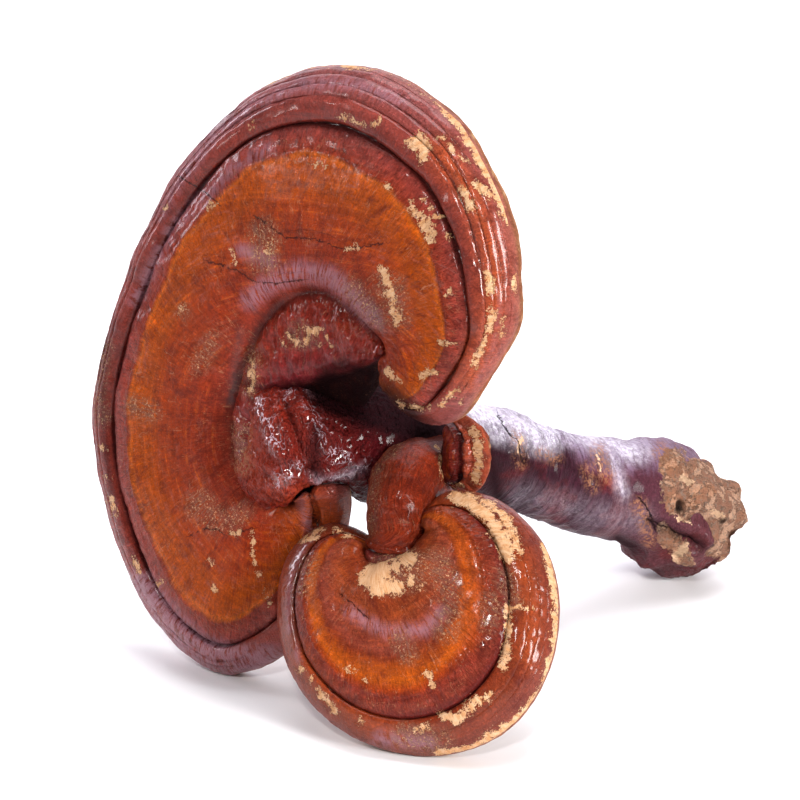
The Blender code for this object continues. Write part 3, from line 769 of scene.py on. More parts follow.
STEM_MARKS = {
    "folds": (
        (1.3, 7.0, (300, 404), (311, 428), (324, 452)),
        (-1.5, 5.5, (282, 400), (289, 418), (300, 445), (313, 474)),
        (-4.2, 13.0, (306, 510), (322, 502), (340, 500)), (-1.2, 10.0, (236, 400), (236, 450)),
        (0.9, 8.0, (262, 400), (264, 425), (280, 455)),
        (1.1, 5.5, (318, 482), (336, 467), (353, 455), (367, 445)),
        (1.0, 4.0, (281, 399), (298, 391), (325, 383)), (0.7, 6.0, (250, 455), (268, 470), (296, 482)),
        (0.8, 7.0, (256, 482), (276, 490), (292, 496)),
        (-0.7, 3.0, (500, 413), (510, 430), (520, 442), (524, 462)), (0.6, 4.0, (515, 440), (512, 452)),
        (0.8, 22.0, (560, 440), (590, 470), (600, 515)),
        (-0.7, 9.0, (626, 440), (632, 480), (628, 520)),
        (-0.9, 5.0, (617, 540), (630, 545), (642, 552)),
        (-0.9, 4.0, (650, 523), (668, 530), (700, 546)), (-1.6, 4.0, (683, 503), (683, 511)),
        (1.2, 9.0, (701, 528), (703, 536)), (0.8, 6.0, (697, 507), (711, 511), (725, 520)),
        (0.5, 8.0, (664, 440), (700, 468), (730, 490)),
    ),
    "cork": (
        (13.0, (672, 462), (676, 500), (690, 510)), (22.0, (700, 480), (722, 500), (722, 540)),
        (9.0, (665, 535), (684, 556)),
    ),
    "nodule": (
        (10.0, (699, 524), (703, 540)),
    ),
    "scuff": (
        (9.0, (598, 452), (604, 474)), (6.0, (517, 436), (520, 462)), (5.0, (540, 452), (556, 460)),
        (6.0, (585, 470), (592, 486)), (8.0, (660, 452), (680, 470)), (7.0, (640, 505), (650, 540)),
        (9.0, (243, 425), (243, 466)),
    ),
    "ember": (
        (15.0, (244, 400), (250, 470), (270, 488), (306, 498)), (6.0, (612, 480)),
    ),
    "shade": (
        (21.0, (330, 394), (365, 408), (400, 420), (446, 422)),
        (12.0, (376, 392), (410, 400), (436, 408)), (5.0, (312, 430), (316, 472)),
        (-2.0, (286, 402), (293, 425), (306, 456)), (4.0, (486, 452), (492, 470), (497, 495)),
        (-1.0, (506, 446), (524, 462), (540, 470)), (-1.0, (560, 462), (580, 474), (600, 482)),
        (3.0, (650, 523), (668, 530), (700, 546)), (5.0, (617, 540), (632, 548)),
    ),
    # painted highlight where the stem's top and the knob's underside reflect the light
    "painted_highlight": (
        (15.0, (474, 410), (500, 424), (545, 436)), (6.0, (560, 432), (590, 440), (640, 452)),
        (2.0, (598, 436), (612, 452), (624, 492)), (-3.0, (316, 480), (340, 478), (362, 468)),
        (4.0, (316, 386), (336, 384)),
    ),
    # painted reflection of the table along the stem's lower side
    "haze": (
        (12.0, (520, 495), (600, 515), (640, 520)),
    ),
    # glossy places; on the knob their crests also get painted glints
    "wet": (
        (5.0, (308, 406), (316, 428), (326, 450), (342, 458)),
        (5.0, (262, 404), (270, 422), (279, 448)), (6.0, (279, 480), (300, 468)),
        (3.0, (286, 396), (300, 392)), (4.0, (320, 484), (345, 476), (364, 464)),
    ),
    # holes, painted dark as shade inside them
    "pit": (
        (4.0, (683, 504), (683, 511)), (3.0, (722, 521)), (2.0, (690, 520)), (2.5, (712, 545)),
    ),
    "peel": (
        (3.2, (682, 478), (689, 483)), (4.0, (676, 558), (686, 549)), (1.6, (596, 456), (599, 470)),
        (1.8, (521, 440), (518, 452)), (1.5, (676, 520), (690, 522)), (2.5, (715, 512), (722, 516)),
    ),
    "cracks": (
        ((500, 413), (507, 424), (514, 436), (520, 442), (524, 462)),
        ((648, 521), (660, 527), (672, 531), (688, 540), (700, 546)),
        ((640, 498), (650, 512), (655, 530)),
    ),
}


def branch_piece():
    """The finger-like branch stem, faintly fluted, flaring where it enters the small cap."""
    points, place, turn, grain = tube_surface(BRANCH_STATIONS, 130, 110, 0.6, 6, 8)
    lift = 0.22 * np.sin(3.0 * turn + 4.0 * place) + 0.16 * ripple(points, 7.0, 41)
    lift += 0.08 * crumple(points, 2.4, 42) + 0.5 * step(place, 0.90, 1.0)
    normal = outward_normals(points, BRANCH_MIDDLE)
    points = points + normal * lift[..., None]
    seen = photo_place(points)
    fields = {
        "grain": grain,
        "zone": 1.90 + 0.04 * ripple(points, 14.0, 43),
        "scuff": soft(seen, BRANCH_MARKS["scuff"], 6.0) * shown(normal),
        "shade": 0.75 * soft(seen, BRANCH_MARKS["shade"], 12.0),
        "peel": stroke_reach(seen, BRANCH_MARKS["peel"]),
        "crack": np.full(place.shape, CRACK_REACH),
    }
    return skin("branch_skin", points, fields)


BRANCH_MARKS = {
    "scuff": (
        (6.0, (396, 446), (380, 462), (371, 490), (370, 530)),
    ),
    "shade": (
        (14.0, (396, 434), (425, 430), (452, 446)),
    ),
    "peel": (
        (1.2, (437, 446), (439, 456), (441, 463), (440, 468), (443, 476), (447, 483)),
    ),
}

# Bud cap: a small ear beside the branch, drawn like the caps.
BUD = {
    "centre": (12.2, 12.6, 53.4),
    "turn": 46.0,
    "tilt": 6.0,
    "outlines": (
        ((-4.0, 5.0), (-4.0, 5.0), (-4.0, 5.0)),
        ((-1.8, 8.3), (-3.6, 3.7), (-4.2, 3.7)),
        ((2.4, 7.6), (-3.2, 2.7), (-4.0, 2.7)),
        ((5.2, 5.8), (-3.0, 1.6), (-3.9, 1.6)),
        ((7.0, 3.2), (-2.9, 0.6), (-3.8, 0.6)),
        ((7.5, 0.0), (-2.9, -0.4), (-3.8, -0.4)),
        ((7.0, -3.3), (-2.9, -1.4), (-3.8, -1.4)),
        ((5.5, -5.9), (-3.0, -2.4), (-3.9, -2.4)),
        ((2.7, -7.9), (-3.2, -3.4), (-4.0, -3.4)),
        ((-2.0, -8.2), (-3.6, -4.4), (-4.2, -4.4)),
        ((-4.0, -5.4), (-4.0, -5.4), (-4.0, -5.4)),
    ),
    "rim": (1.2, 2.6, 4.0, 4.4, 4.2, 3.2, 1.8),
    "back": (0.0, 0.0),
    "pit": -0.8,
    "ridged": (0.0, 0.0),
    "thickness": 0.30,
    "swell": 0.80,
    "depth": (1.0, 1.0),
    "lumps": 0.3,
    "ring": (1.7, 1.7),
    "rows": 180,
}
BUD_MARKS = {
    "peel": (
        (4.2, (473, 430), (478, 444), (479, 462), (475, 480)), (1.8, (456, 486), (463, 484)),
    ),
    "folds": (
        (1.0, 4.5, (451, 446), (452, 470)), (0.9, 4.5, (466, 446), (466, 470)),
        (-0.7, 2.6, (459, 436), (460, 478)),
    ),
}


# Finishes

class Wire:
    """One output of a node. Arithmetic on it adds a Math node and gives that node's output."""

    def __init__(self, finish, socket):
        self.finish = finish
        self.socket = socket

    def math(self, operation, *values, clamp=False):
        """A Math node's result on these values, kept between 0 and 1 where clamped."""
        settings = {"operation": operation, "use_clamp": clamp}
        return self.finish.node("ShaderNodeMath", settings, dict(enumerate(values)))

    def __add__(self, other):
        return self.math("ADD", self, other)

    __radd__ = __add__

    def __sub__(self, other):
        return self.math("SUBTRACT", self, other)

    def __rsub__(self, other):
        return self.math("SUBTRACT", other, self)

    def __mul__(self, other):
        return self.math("MULTIPLY", self, other)

    __rmul__ = __mul__

    def __abs__(self):
        return self.math("ABSOLUTE", self)

    def held(self):
        """The value kept between 0 and 1."""
        return self.math("ADD", self, 0.0, clamp=True)

    def rise(self, low, high):
        """0 below low, 1 above high, and a smooth S between."""
        settings = {"interpolation_type": "SMOOTHSTEP"}
        return self.finish.node("ShaderNodeMapRange", settings, {0: self, 1: low, 2: high})

    def fall(self, low, high):
        """1 below low, 0 above high, and a smooth S between."""
        return 1.0 - self.rise(low, high)


def linear(colour):
    """A screen colour as the linear light that a shader takes: the usual power curve on each channel."""
    return tuple(c / 12.92 if c <= 0.04045 else ((c + 0.055) / 1.055) ** 2.4 for c in colour) + (1.0,)


class Finish:
    """A material being made, with one Principled shader."""

    def __init__(self, name, **uniform):
        self.material = bpy.data.materials.new(name)
        self.material.use_nodes = True
        self.tree = self.material.node_tree
        self.shader = self.tree.nodes["Principled BSDF"]
        for socket, value in uniform.items():
            self.shader.inputs[socket.replace("_", " ")].default_value = value
        self.place = self.node("ShaderNodeTexCoord", {}, {}, "Object")

    def node(self, kind, settings, values, output=0):
        """Add a node, set it up, give its sockets their values or links, and return one of its outputs."""
        node = self.tree.nodes.new(kind)
        for setting, value in settings.items():
            setattr(node, setting, value)
        for socket, value in values.items():
            if isinstance(value, Wire):
                self.tree.links.new(value.socket, node.inputs[socket])
            else:
                node.inputs[socket].default_value = value
        return Wire(self, node.outputs[output])

    def field(self, name, output="Fac"):
        """A field of the mesh, as one number unless its Vector is asked for."""
        return self.node("ShaderNodeAttribute", {"attribute_name": name}, {}, output)

    def stretched(self, coords, scale):
        """Coordinates times a scale along each axis."""
        return self.node("ShaderNodeVectorMath", {"operation": "MULTIPLY"}, {0: coords, 1: scale})

    def millimetres(self):
        """The piece's own coordinates in millimetres."""
        return self.stretched(self.place, (1.0 / MM, 1.0 / MM, 1.0 / MM))

    def noise(self, coords, scale, detail=4.0, roughness=0.55, distortion=0.0, stretch=None):
        """Cloudy noise from 0 to 1, mostly near 0.5. Its coordinates may be stretched first."""
        if stretch:
            coords = self.stretched(coords, stretch)
        values = {"Vector": coords, "Scale": scale, "Detail": detail, "Roughness": roughness}
        return self.node("ShaderNodeTexNoise", {}, {**values, "Distortion": distortion}, 0)

    def wander(self, amount, *coords_and_scale, **stretch):
        """The same noise moved to 0 in the middle and made this high in all."""
        return (self.noise(*coords_and_scale, **stretch) - 0.5) * amount

    def creases(self, *coords_and_scale, **stretch):
        """How far the same noise is from its middle: 0 along thin winding lines."""
        return abs(self.noise(*coords_and_scale, **stretch) - 0.5)

    def cells(self, coords, scale):
        """Distance to the nearest of many scattered points."""
        return self.node("ShaderNodeTexVoronoi", {}, {"Vector": coords, "Scale": scale}, "Distance")

    def ramp(self, value, stops, reach):
        """Colour or grey read off stops of (place, colour), with places from 0 to reach."""
        read = self.node("ShaderNodeValToRGB", {}, {0: value * (1.0 / reach)}, "Color")
        marks = read.socket.node.color_ramp.elements
        while len(marks) < len(stops):
            marks.new(0.5)
        for mark, (place, colour) in zip(marks, stops):
            mark.position = place / reach
            mark.color = linear(colour) if isinstance(colour, tuple) else (colour, colour, colour, 1.0)
        return read

    def mix(self, share, a, b, blend="MIX"):
        """Colour a to colour b by share; a and b are colours or wires."""
        a, b = (linear(colour) if isinstance(colour, tuple) else colour for colour in (a, b))
        settings = {"data_type": "RGBA", "blend_type": blend}
        return self.node("ShaderNodeMix", settings, {0: share, 6: a, 7: b}, 2)

    def painted(self, colour, *layers):
        """A colour with layers of (share, colour) laid over it, one after another."""
        for share, layer in layers:
            colour = self.mix(share, colour, layer)
        return colour

    def toned(self, colour, tone):
        """A colour times a grey tone."""
        grey = self.node("ShaderNodeCombineColor", {}, {0: tone, 1: tone, 2: tone})
        return self.mix(1.0, colour, grey, "MULTIPLY")

    def bump(self, height):
        """Normals bent by a height in millimetres."""
        return self.node("ShaderNodeBump", {}, {"Strength": 1.0, "Distance": MM, "Height": height})

    def surface(self, **sockets):
        """Link the shader's sockets and return the material."""
        for socket, value in sockets.items():
            self.tree.links.new(value.socket, self.shader.inputs[socket.replace("_", " ")])
        return self.material


# Colours by zone across a cap: 0 the throat's edge, 1 the crease, 1.7 the middle of the
# pale ring, 2 the deep groove, 3 the outer edge and 4 the middle of the underside.
# The darkest stops, at the throat's edge, just inside the crease and at the deep groove, are painted shade
# in these hollows.
ZONES = 4.0
CAP_COLOURS = (
    (0.00, (0.14, 0.04, 0.05)),
    (0.12, (0.50, 0.15, 0.17)),
    (0.45, (0.54, 0.17, 0.14)),
    (0.90, (0.52, 0.15, 0.09)),
    (0.99, (0.32, 0.08, 0.06)),
    (1.06, (0.54, 0.18, 0.11)),
    (1.28, (0.56, 0.18, 0.06)),
    (1.50, (0.61, 0.22, 0.05)),
    (1.62, (0.64, 0.26, 0.03)),
    (1.77, (0.69, 0.285, 0.02)),
    (1.80, (0.80, 0.38, 0.10)),
    (1.825, (0.56, 0.19, 0.10)),
    (1.95, (0.58, 0.23, 0.19)),
    (2.00, (0.24, 0.07, 0.07)),
    (2.02, (0.32, 0.09, 0.08)),
    (2.06, (0.50, 0.17, 0.12)),
    (2.40, (0.56, 0.23, 0.19)),
    (2.95, (0.57, 0.30, 0.29)),
    (3.04, (0.60, 0.36, 0.30)),
    (3.10, (0.52, 0.32, 0.22)),
    (3.22, (0.72, 0.52, 0.38)),
    (3.60, (0.66, 0.47, 0.33)),
    (3.86, (0.50, 0.33, 0.24)),
    (4.00, (0.40, 0.24, 0.18)),
)
SMALL_COLOURS = (
    (0.00, (0.14, 0.04, 0.05)),
    (0.12, (0.40, 0.13, 0.14)),
    (0.90, (0.46, 0.16, 0.11)),
    (0.99, (0.36, 0.12, 0.08)),
    (1.08, (0.50, 0.18, 0.08)),
    (1.30, (0.55, 0.23, 0.10)),
    (1.54, (0.54, 0.23, 0.16)),
    (1.59, (0.48, 0.17, 0.07)),
    (1.65, (0.64, 0.27, 0.05)),
    (1.74, (0.72, 0.32, 0.05)),
    (1.80, (0.63, 0.23, 0.06)),
    (1.85, (0.50, 0.17, 0.11)),
    (1.93, (0.50, 0.20, 0.14)),
    (1.98, (0.42, 0.12, 0.10)),
    (2.00, (0.26, 0.08, 0.07)),
    (2.05, (0.49, 0.17, 0.06)),
    (2.45, (0.49, 0.20, 0.10)),
    (2.95, (0.50, 0.22, 0.16)),
    (3.04, (0.54, 0.26, 0.18)),
    (3.20, (0.74, 0.54, 0.39)),
    (4.00, (0.55, 0.38, 0.27)),
)
BRANCH_COLOURS = (
    (0.00, (0.20, 0.05, 0.05)),
    (1.70, (0.46, 0.13, 0.08)),
    (1.90, (0.54, 0.18, 0.08)),
    (2.10, (0.46, 0.14, 0.09)),
    (4.00, (0.46, 0.16, 0.12)),
)
BUD_COLOURS = (
    (0.00, (0.20, 0.05, 0.05)),
    (1.00, (0.36, 0.10, 0.08)),
    (1.60, (0.44, 0.12, 0.08)),
    (1.95, (0.34, 0.09, 0.08)),
    (2.00, (0.14, 0.04, 0.05)),
    (2.10, (0.60, 0.25, 0.16)),
    (3.00, (0.62, 0.27, 0.17)),
    (4.00, (0.46, 0.16, 0.12)),
)
WRINKLE_SHARE = (
    (0.0, 0.15), (1.0, 0.25), (1.60, 0.45), (1.80, 1.0), (1.97, 1.0), (2.03, 0.4), (2.2, 0.6),
    (2.9, 0.8), (3.05, 0.1), (4.0, 0.1),
)
GLOSS_SHARE = (
    (0.0, 0.1), (0.2, 0.35), (0.95, 0.35), (1.1, 0.10), (1.7, 0.04), (1.84, 0.24), (1.97, 0.24),
    (2.05, 0.45), (2.9, 0.42), (3.05, 0.1), (4.0, 0.05),
)
# Tints laid over the crust
BARE_FLESH = (0.93, 0.76, 0.60)
TAN_FLESH = (0.86, 0.62, 0.42)
FLESH_SPECK = (0.66, 0.42, 0.28)
WARM_RED = (0.68, 0.29, 0.12)
GOLD = (0.74, 0.34, 0.06)
HAZE = (0.62, 0.38, 0.34)
LIVER = (0.36, 0.09, 0.06)
AMBER = (0.60, 0.25, 0.06)
VEIN = (0.16, 0.04, 0.05)
GROWTH_BAND = (0.50, 0.33, 0.22)
PALE_UNDERSIDE = (0.84, 0.69, 0.52)
PORE = (0.36, 0.22, 0.14)
# painted reflection of the light: pale lilac on slopes, ridges and rims
PAINTED_REFLECTION = (0.68, 0.49, 0.54)
SMEAR = (0.52, 0.38, 0.32)
THREAD = (0.78, 0.52, 0.38)
CRACK = (0.16, 0.05, 0.04)
THROAT_SHADE = (0.10, 0.03, 0.04)
# painted shadow of the lacquer's broken edge beside peeled places
PAINTED_PEEL_SHADOW = (0.20, 0.06, 0.05)


def cap_lacquer(name, colours, spoked=0.9, gloss=1.0, puckered=1.2):
    """Lacquered crust of a cap.

    Its colour is read by zone, shaken by cloudy noise, and multiplied by a tone of
    grit, spokes along the radius, growth rings and wrinkles. Over it lie a redder
    tint, which at the lower lobe's end is also painted light, gold and hazy bands,
    blotches and veins, the pored underside, and then a painted pale reflection of
    the light, the marks: smears, threads of old skin and cracks, then painted shade,
    a painted shadow along the edge of each peeled place, and bare flesh. spoked is
    the share of the radial streaks, gloss that of the clear coat, and puckered the
    height of the fine wrinkles in mm.
    """
    finish = Finish(name, IOR=1.5, Specular_IOR_Level=0.06, Coat_Roughness=0.16, Coat_IOR=1.5)
    zone, grain = finish.field("zone"), finish.field("grain", "Vector")
    tinted_and_lit, wet, shade, scuff = (finish.field(key) for key in ("tinted_and_lit", "wet", "shade", "scuff"))
    mm = finish.millimetres()
    under = zone.rise(3.02, 3.12)
    top = 1.0 - under

    # noises: in mm all round, or in the grain's mm along the outline and along the radius
    cloud = finish.noise(mm, 0.09, 5.0, 0.6)
    mottle = finish.noise(mm, 0.34, 5.0, 0.72)
    crumbs = finish.noise(mm, 1.9, 5.0, 0.8)
    grit = finish.noise(mm, 3.2, 3.0, 0.65)
    fine = finish.noise(grain, 1.2, 4.0, 0.62, stretch=(1.0, 0.35, 1.0))
    spokes = finish.noise(grain, 1.0, 5.0, 0.70, stretch=(1.0, 0.22, 1.0))
    streaks = finish.noise(grain, 1.5, 5.0, 0.75, stretch=(1.0, 0.3, 1.0))
    rings = finish.noise(grain, 0.9, 4.0, 0.65, stretch=(0.03, 1.0, 1.0))
    bands = finish.noise(grain, 1.0, 4.0, 0.7, stretch=(0.012, 0.55, 1.0))
    blotch = finish.noise(grain, 0.8, 5.0, 0.75, stretch=(0.25, 0.20, 1.0))
    haze = finish.noise(grain, 0.8, 5.0, 0.75, stretch=(0.20, 1.0, 1.0))
    wrinkle = finish.creases(grain, 1.15, 4.0, 0.6, stretch=(1.0, 0.2, 1.0))
    vein = finish.creases(grain, 0.55, 2.0, 0.5, stretch=(1.0, 0.20, 1.0))
    hairs = finish.creases(grain, 0.42, 2.0, 0.5, 0.6, stretch=(1.0, 0.22, 1.0))
    cross = finish.creases(grain, 0.46, 2.0, 0.5, 0.6, stretch=(0.25, 1.0, 1.0))
    pucker = finish.creases(mm, 1.15, 4.0, 0.62)
    pores = finish.cells(mm, 2.6)
    share = finish.ramp(zone, WRINKLE_SHARE, ZONES)

    # the crust as it grew
    gold = rings.rise(0.52, 0.64) * mottle.rise(0.40, 0.58) * zone.rise(1.0, 1.2) * zone.fall(1.78, 1.8)
    hazy = haze.rise(0.50, 0.62) * cloud.rise(0.46, 0.60) * zone.rise(0.95, 1.1) * zone.fall(1.95, 2.0)
    amber = cloud.rise(0.52, 0.66) * fine.rise(0.4, 0.6) * zone.fall(1.7, 1.9)
    veins = vein.fall(0.0, 0.012) * zone.rise(1.76, 1.86) * zone.fall(1.96, 2.0)
    rough = (grit * 0.7 + fine * 1.1 + mottle * 1.3 - 1.55) * (1.0 - zone.rise(1.85, 2.05) * 0.55)
    tone = rough + spokes * spoked + rings + wrinkle * share * (0.6 + 2.2 * spoked) + pucker * 3.0
    crust = finish.painted(
        finish.ramp(zone + (cloud - 0.5) * 0.14 * zone.fall(1.85, 1.95), colours, ZONES),
        # a redder tint, which at the lower lobe's end also lightens it as painted light
        (tinted_and_lit * 0.9, WARM_RED),
        (gold * (0.55 * spoked), GOLD),
        (hazy * (0.45 * spoked), HAZE),
    )
    crust = finish.painted(
        finish.toned(crust, tone - (spoked * 0.5 - 0.33)),
        (blotch.rise(0.50, 0.64) * top * 0.55, LIVER),
        (amber * 0.4, AMBER),
        (veins * (0.6 * spoked), VEIN),
        (under * bands.rise(0.44, 0.62) * 0.55, GROWTH_BAND),
        (under * mottle.rise(0.50, 0.66) * 0.5, PALE_UNDERSIDE),
        (under * pores.fall(0.10, 0.34) * 0.5, PORE),
    )

    # the marks that it got later, and the painted reflection and shade
    painted_reflection = finish.field("painted_reflection") * spokes.rise(0.38, 0.56) * 0.75
    smear = scuff * streaks.rise(0.42, 0.60) * 0.65
    dust = (scuff * crumbs.rise(0.555, 0.60) + crumbs.rise(0.672, 0.71) * top).held()
    lines = (hairs.fall(0.0, 0.008) + cross.fall(0.0, 0.006) * 0.6).held()
    threads = lines * finish.noise(mm, 0.30, 4.0, 0.7).rise(0.47, 0.56) * zone.fall(1.9, 2.0) * top
    jagged = finish.field("crack") + finish.wander(7.0, mm, 1.3, 3.0, 0.6)
    crack = abs(jagged).fall(0.3, 1.1) * finish.noise(mm, 0.6, 2.0).rise(0.34, 0.44)
    flaked = finish.field("peel") + finish.wander(24.0, mm, 0.6, 4.0, 0.75)
    flaked = flaked + finish.wander(14.0, mm, 3.0, 3.0, 0.7)
    bared = (flaked.rise(0.0, 0.5) + dust).held()
    flesh = finish.mix(fine.rise(0.35, 0.65), TAN_FLESH, BARE_FLESH)
    flesh = finish.mix(grit.rise(0.60, 0.72) * 0.5, flesh, FLESH_SPECK)
    colour = finish.painted(
        crust,
        (painted_reflection, PAINTED_REFLECTION),
        (smear, SMEAR),
        (threads * 0.6, THREAD),
        (crack * 0.8, CRACK),
        # painted shade in the throat's pocket, under the flap, along the left rim and on the branch's top
        (shade * 0.85, THROAT_SHADE),
        # painted shadow along the lacquer's edge just outside each peeled place
        (flaked.rise(-1.6, 0.0) * 0.35, PAINTED_PEEL_SHADOW),
        (bared, flesh),
    )

    # relief in mm, and gloss
    height = wrinkle * share * (0.9 + 2.3 * spoked) + pucker * (wet * 2.2 + puckered)
    height = height + (grit - 0.5) * 0.12 + (rings - 0.5) * 0.10 + pores.rise(0.10, 0.42) * under * 0.12
    height = height - crack * 0.3 - bared * 0.12 - veins * 0.15
    matt = (bared + under + smear * 0.7 + shade * 0.7).held()
    shine = finish.ramp(zone, GLOSS_SHARE, ZONES) + wet * 0.7
    shine = shine + (wrinkle + pucker).rise(0.20, 0.36) * share * 0.4
    return finish.surface(
        Base_Color=colour,
        Roughness=0.34 + fine * 0.10 + matt * 0.4,
        Coat_Weight=(1.0 - matt) * gloss * shine,
        Normal=finish.bump(height),
    )


# Colours along the stem, from 0.1 at its top to 1.1 at its foot, and tints laid over them
STEM_REACH = 1.2
STEM_COLOURS = (
    (0.00, (0.52, 0.15, 0.08)),
    (0.20, (0.30, 0.06, 0.08)),
    (0.34, (0.17, 0.05, 0.08)),
    (0.55, (0.19, 0.08, 0.12)),
    (0.74, (0.26, 0.12, 0.17)),
    (0.90, (0.34, 0.18, 0.21)),
    (1.10, (0.36, 0.20, 0.20)),
)
RED_BLOTCH = (0.36, 0.09, 0.08)
EMBER = (0.58, 0.20, 0.12)
# painted highlights: pale where the skin faces up, and lilac
PAINTED_LIGHT_NEAR_KNOB = (0.84, 0.80, 0.88)
PAINTED_LIGHT_NEAR_FOOT = (0.50, 0.41, 0.51)
LILAC = (0.76, 0.71, 0.80)
PALE_LILAC = (0.97, 0.95, 1.0)
CORK = (0.62, 0.44, 0.36)
PALE_CORK = (0.82, 0.65, 0.54)
RUSTY_CORK = (0.80, 0.54, 0.38)
GREY_CORK = (0.60, 0.52, 0.46)
CORK_SPECK = (0.34, 0.22, 0.18)
CORK_SPLIT = (0.24, 0.13, 0.11)
# painted glint
PAINTED_GLINT = (0.90, 0.83, 0.88)
TAN_SCRAPE = (0.66, 0.45, 0.33)
CHIP = (0.90, 0.74, 0.60)
# cracks, and pits painted dark as shade
CRACKS_AND_PIT_SHADE = (0.10, 0.05, 0.05)
# painted shade where the caps shade the stem
PAINTED_STEM_SHADE = (0.10, 0.03, 0.05)


def stem_skin():
    """Dark varnished skin of the stem, red at the throat, purple along it, with a corky tan base.

    Its colour is read by place along the stem and multiplied by a tone of grit and
    wrinkles. Over it lie the throat's red-orange edge, a painted pale highlight where
    the skin faces up, a painted lilac highlight with a faint painted reflection of the
    table below it, the cork, and then painted glints on the wet crests, scrapes, chips,
    cracks, pits painted dark as shade, and painted shade.
    """
    finish = Finish("stem_skin", IOR=1.5, Specular_IOR_Level=0.06, Coat_Roughness=0.12, Coat_IOR=1.9)
    place, grain = finish.field("place"), finish.field("grain", "Vector")
    wet, shade, painted_highlight, corky = (finish.field(key) for key in ("wet", "shade", "painted_highlight", "cork"))
    mm = finish.millimetres()
    throat = place.fall(0.16, 0.28)
    banded = place.rise(0.32, 0.40) * place.fall(0.52, 0.62)

    cloud = finish.noise(mm, 0.13, 5.0, 0.6)
    lump = finish.noise(mm, 0.35, 5.0, 0.7)
    fine = finish.noise(mm, 1.1, 4.0, 0.6)
    streaks = finish.noise(mm, 1.3, 5.0, 0.8)
    grit = finish.noise(mm, 3.0, 3.0, 0.65)
    patchy = finish.noise(grain, 0.35, 5.0, 0.65, stretch=(0.5, 0.8, 1.0)).rise(0.36, 0.54)
    net = finish.creases(mm, 0.50, 3.0, 0.55, stretch=(1.0, 0.7, 0.6))
    arcs = finish.creases(grain, 0.5, 3.0, 0.5, stretch=(0.22, 1.0, 1.0))
    pucker = finish.creases(mm, 1.3, 4.0, 0.62)
    feathery = (arcs + pucker).rise(0.02, 0.14)

    tone = fine * 1.2 + grit * 0.9 + arcs * (0.9 + banded * 2.6) * (1.0 - throat) + pucker * 2.8 - 0.20
    uneven = (cloud - 0.5) * 1.2 + finish.wander(0.5, grain, 1.0, 4.0, 0.62, stretch=(0.16, 1.0, 1.0))
    # painted highlight, paler where the skin faces up
    painted_top_light = (finish.field("upper") + uneven).rise(0.48, 1.02) * place.rise(0.23, 0.31)
    top_light_colour = finish.mix(place.rise(0.30, 0.55), PAINTED_LIGHT_NEAR_KNOB, PAINTED_LIGHT_NEAR_FOOT)
    lilac = finish.mix(fine.rise(0.35, 0.65), LILAC, PALE_LILAC)
    rind = finish.ramp(place + 0.1 + (cloud - 0.5) * 0.12, STEM_COLOURS, STEM_REACH)
    rind = finish.mix(cloud.rise(0.50, 0.66) * 0.45, rind, RED_BLOTCH)
    rind = finish.painted(
        finish.toned(rind, tone),
        (finish.field("ember") * fine.rise(0.3, 0.6), EMBER),
        # painted highlights: along the upper side, and where the stem reflects the light
        (painted_top_light * (feathery * 0.5 + 0.4), top_light_colour),
        (painted_highlight * (feathery * 0.5 + 0.5) * (patchy * 0.5 + 0.5), lilac),
    )

    cork = (corky + finish.wander(2.2, mm, 0.45, 5.0, 0.75) * corky.rise(0.0, 0.2)).rise(0.42, 0.56)
    split = abs(lump - 0.5).fall(0.0, 0.03) * cork
    cork_colour = finish.painted(
        finish.mix(lump.rise(0.40, 0.60), CORK, PALE_CORK),
        (cloud.rise(0.46, 0.60) * 0.4, RUSTY_CORK),
        (fine.rise(0.52, 0.62) * 0.7, GREY_CORK),
        (grit.rise(0.58, 0.68) * 0.7, CORK_SPECK),
        (split * 0.6, CORK_SPLIT),
    )

    smear = finish.field("scuff") * streaks.rise(0.47, 0.56)
    chips = (finish.field("peel") + finish.wander(18.0, mm, 0.8, 4.0, 0.75)).rise(0.0, 0.6)
    crack = abs(finish.field("crack") + finish.wander(7.0, mm, 1.0, 3.0, 0.6)).fall(0.2, 1.3)
    colour = finish.painted(
        rind,
        (cork, cork_colour),
        # painted glints on the crests of the wet places at the knob
        (net.fall(0.0, 0.022) * wet * 0.85, PAINTED_GLINT),
        (smear * 0.8, TAN_SCRAPE),
        (chips, CHIP),
        # cracks, and pits painted dark as shade
        ((crack + finish.field("pit")).held() * 0.9, CRACKS_AND_PIT_SHADE),
        # painted shade where the caps shade the stem
        (shade * 0.9, PAINTED_STEM_SHADE),
    )

    height = arcs * (0.9 + banded * 2.3) * (1.0 - throat) - net * throat * 5.0
    height = height + pucker * (0.9 - throat * 0.3 + cork * 1.6) + (grit - 0.5) * (0.10 + cork * 0.5)
    height = height - crack * 0.4 - split * 0.5
    matt = (cork + chips + smear * 0.6 + shade * 1.1).held()
    shine = throat * (wet * 0.9 + 0.08) * (net + pucker).rise(0.04, 0.14)
    shine = 0.03 + shine + (arcs + pucker).rise(0.18, 0.30) * 0.08
    return finish.surface(
        Base_Color=colour,
        Roughness=0.30 + fine * 0.12 + matt * 0.45,
        Coat_Weight=(1.0 - matt) * shine,
        Normal=finish.bump(height),
    )


def floor_finish():
    """Pale table top, very slightly uneven."""
    finish = Finish("pale_table", Roughness=0.8, Specular_IOR_Level=0.2)
    grain = finish.noise(finish.place, 30.0, 3.0, 0.5)
    return finish.surface(Base_Color=finish.mix(grain, (0.955, 0.955, 0.96), (0.965, 0.965, 0.97)))


def dress(piece, material, slot, *nodes):
    """Give a piece its finish, let it ride with the mushroom, and hide the solids that it stands for."""
    piece.data.materials.append(material)
    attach(piece, "root")
    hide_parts(*nodes)


# Setting

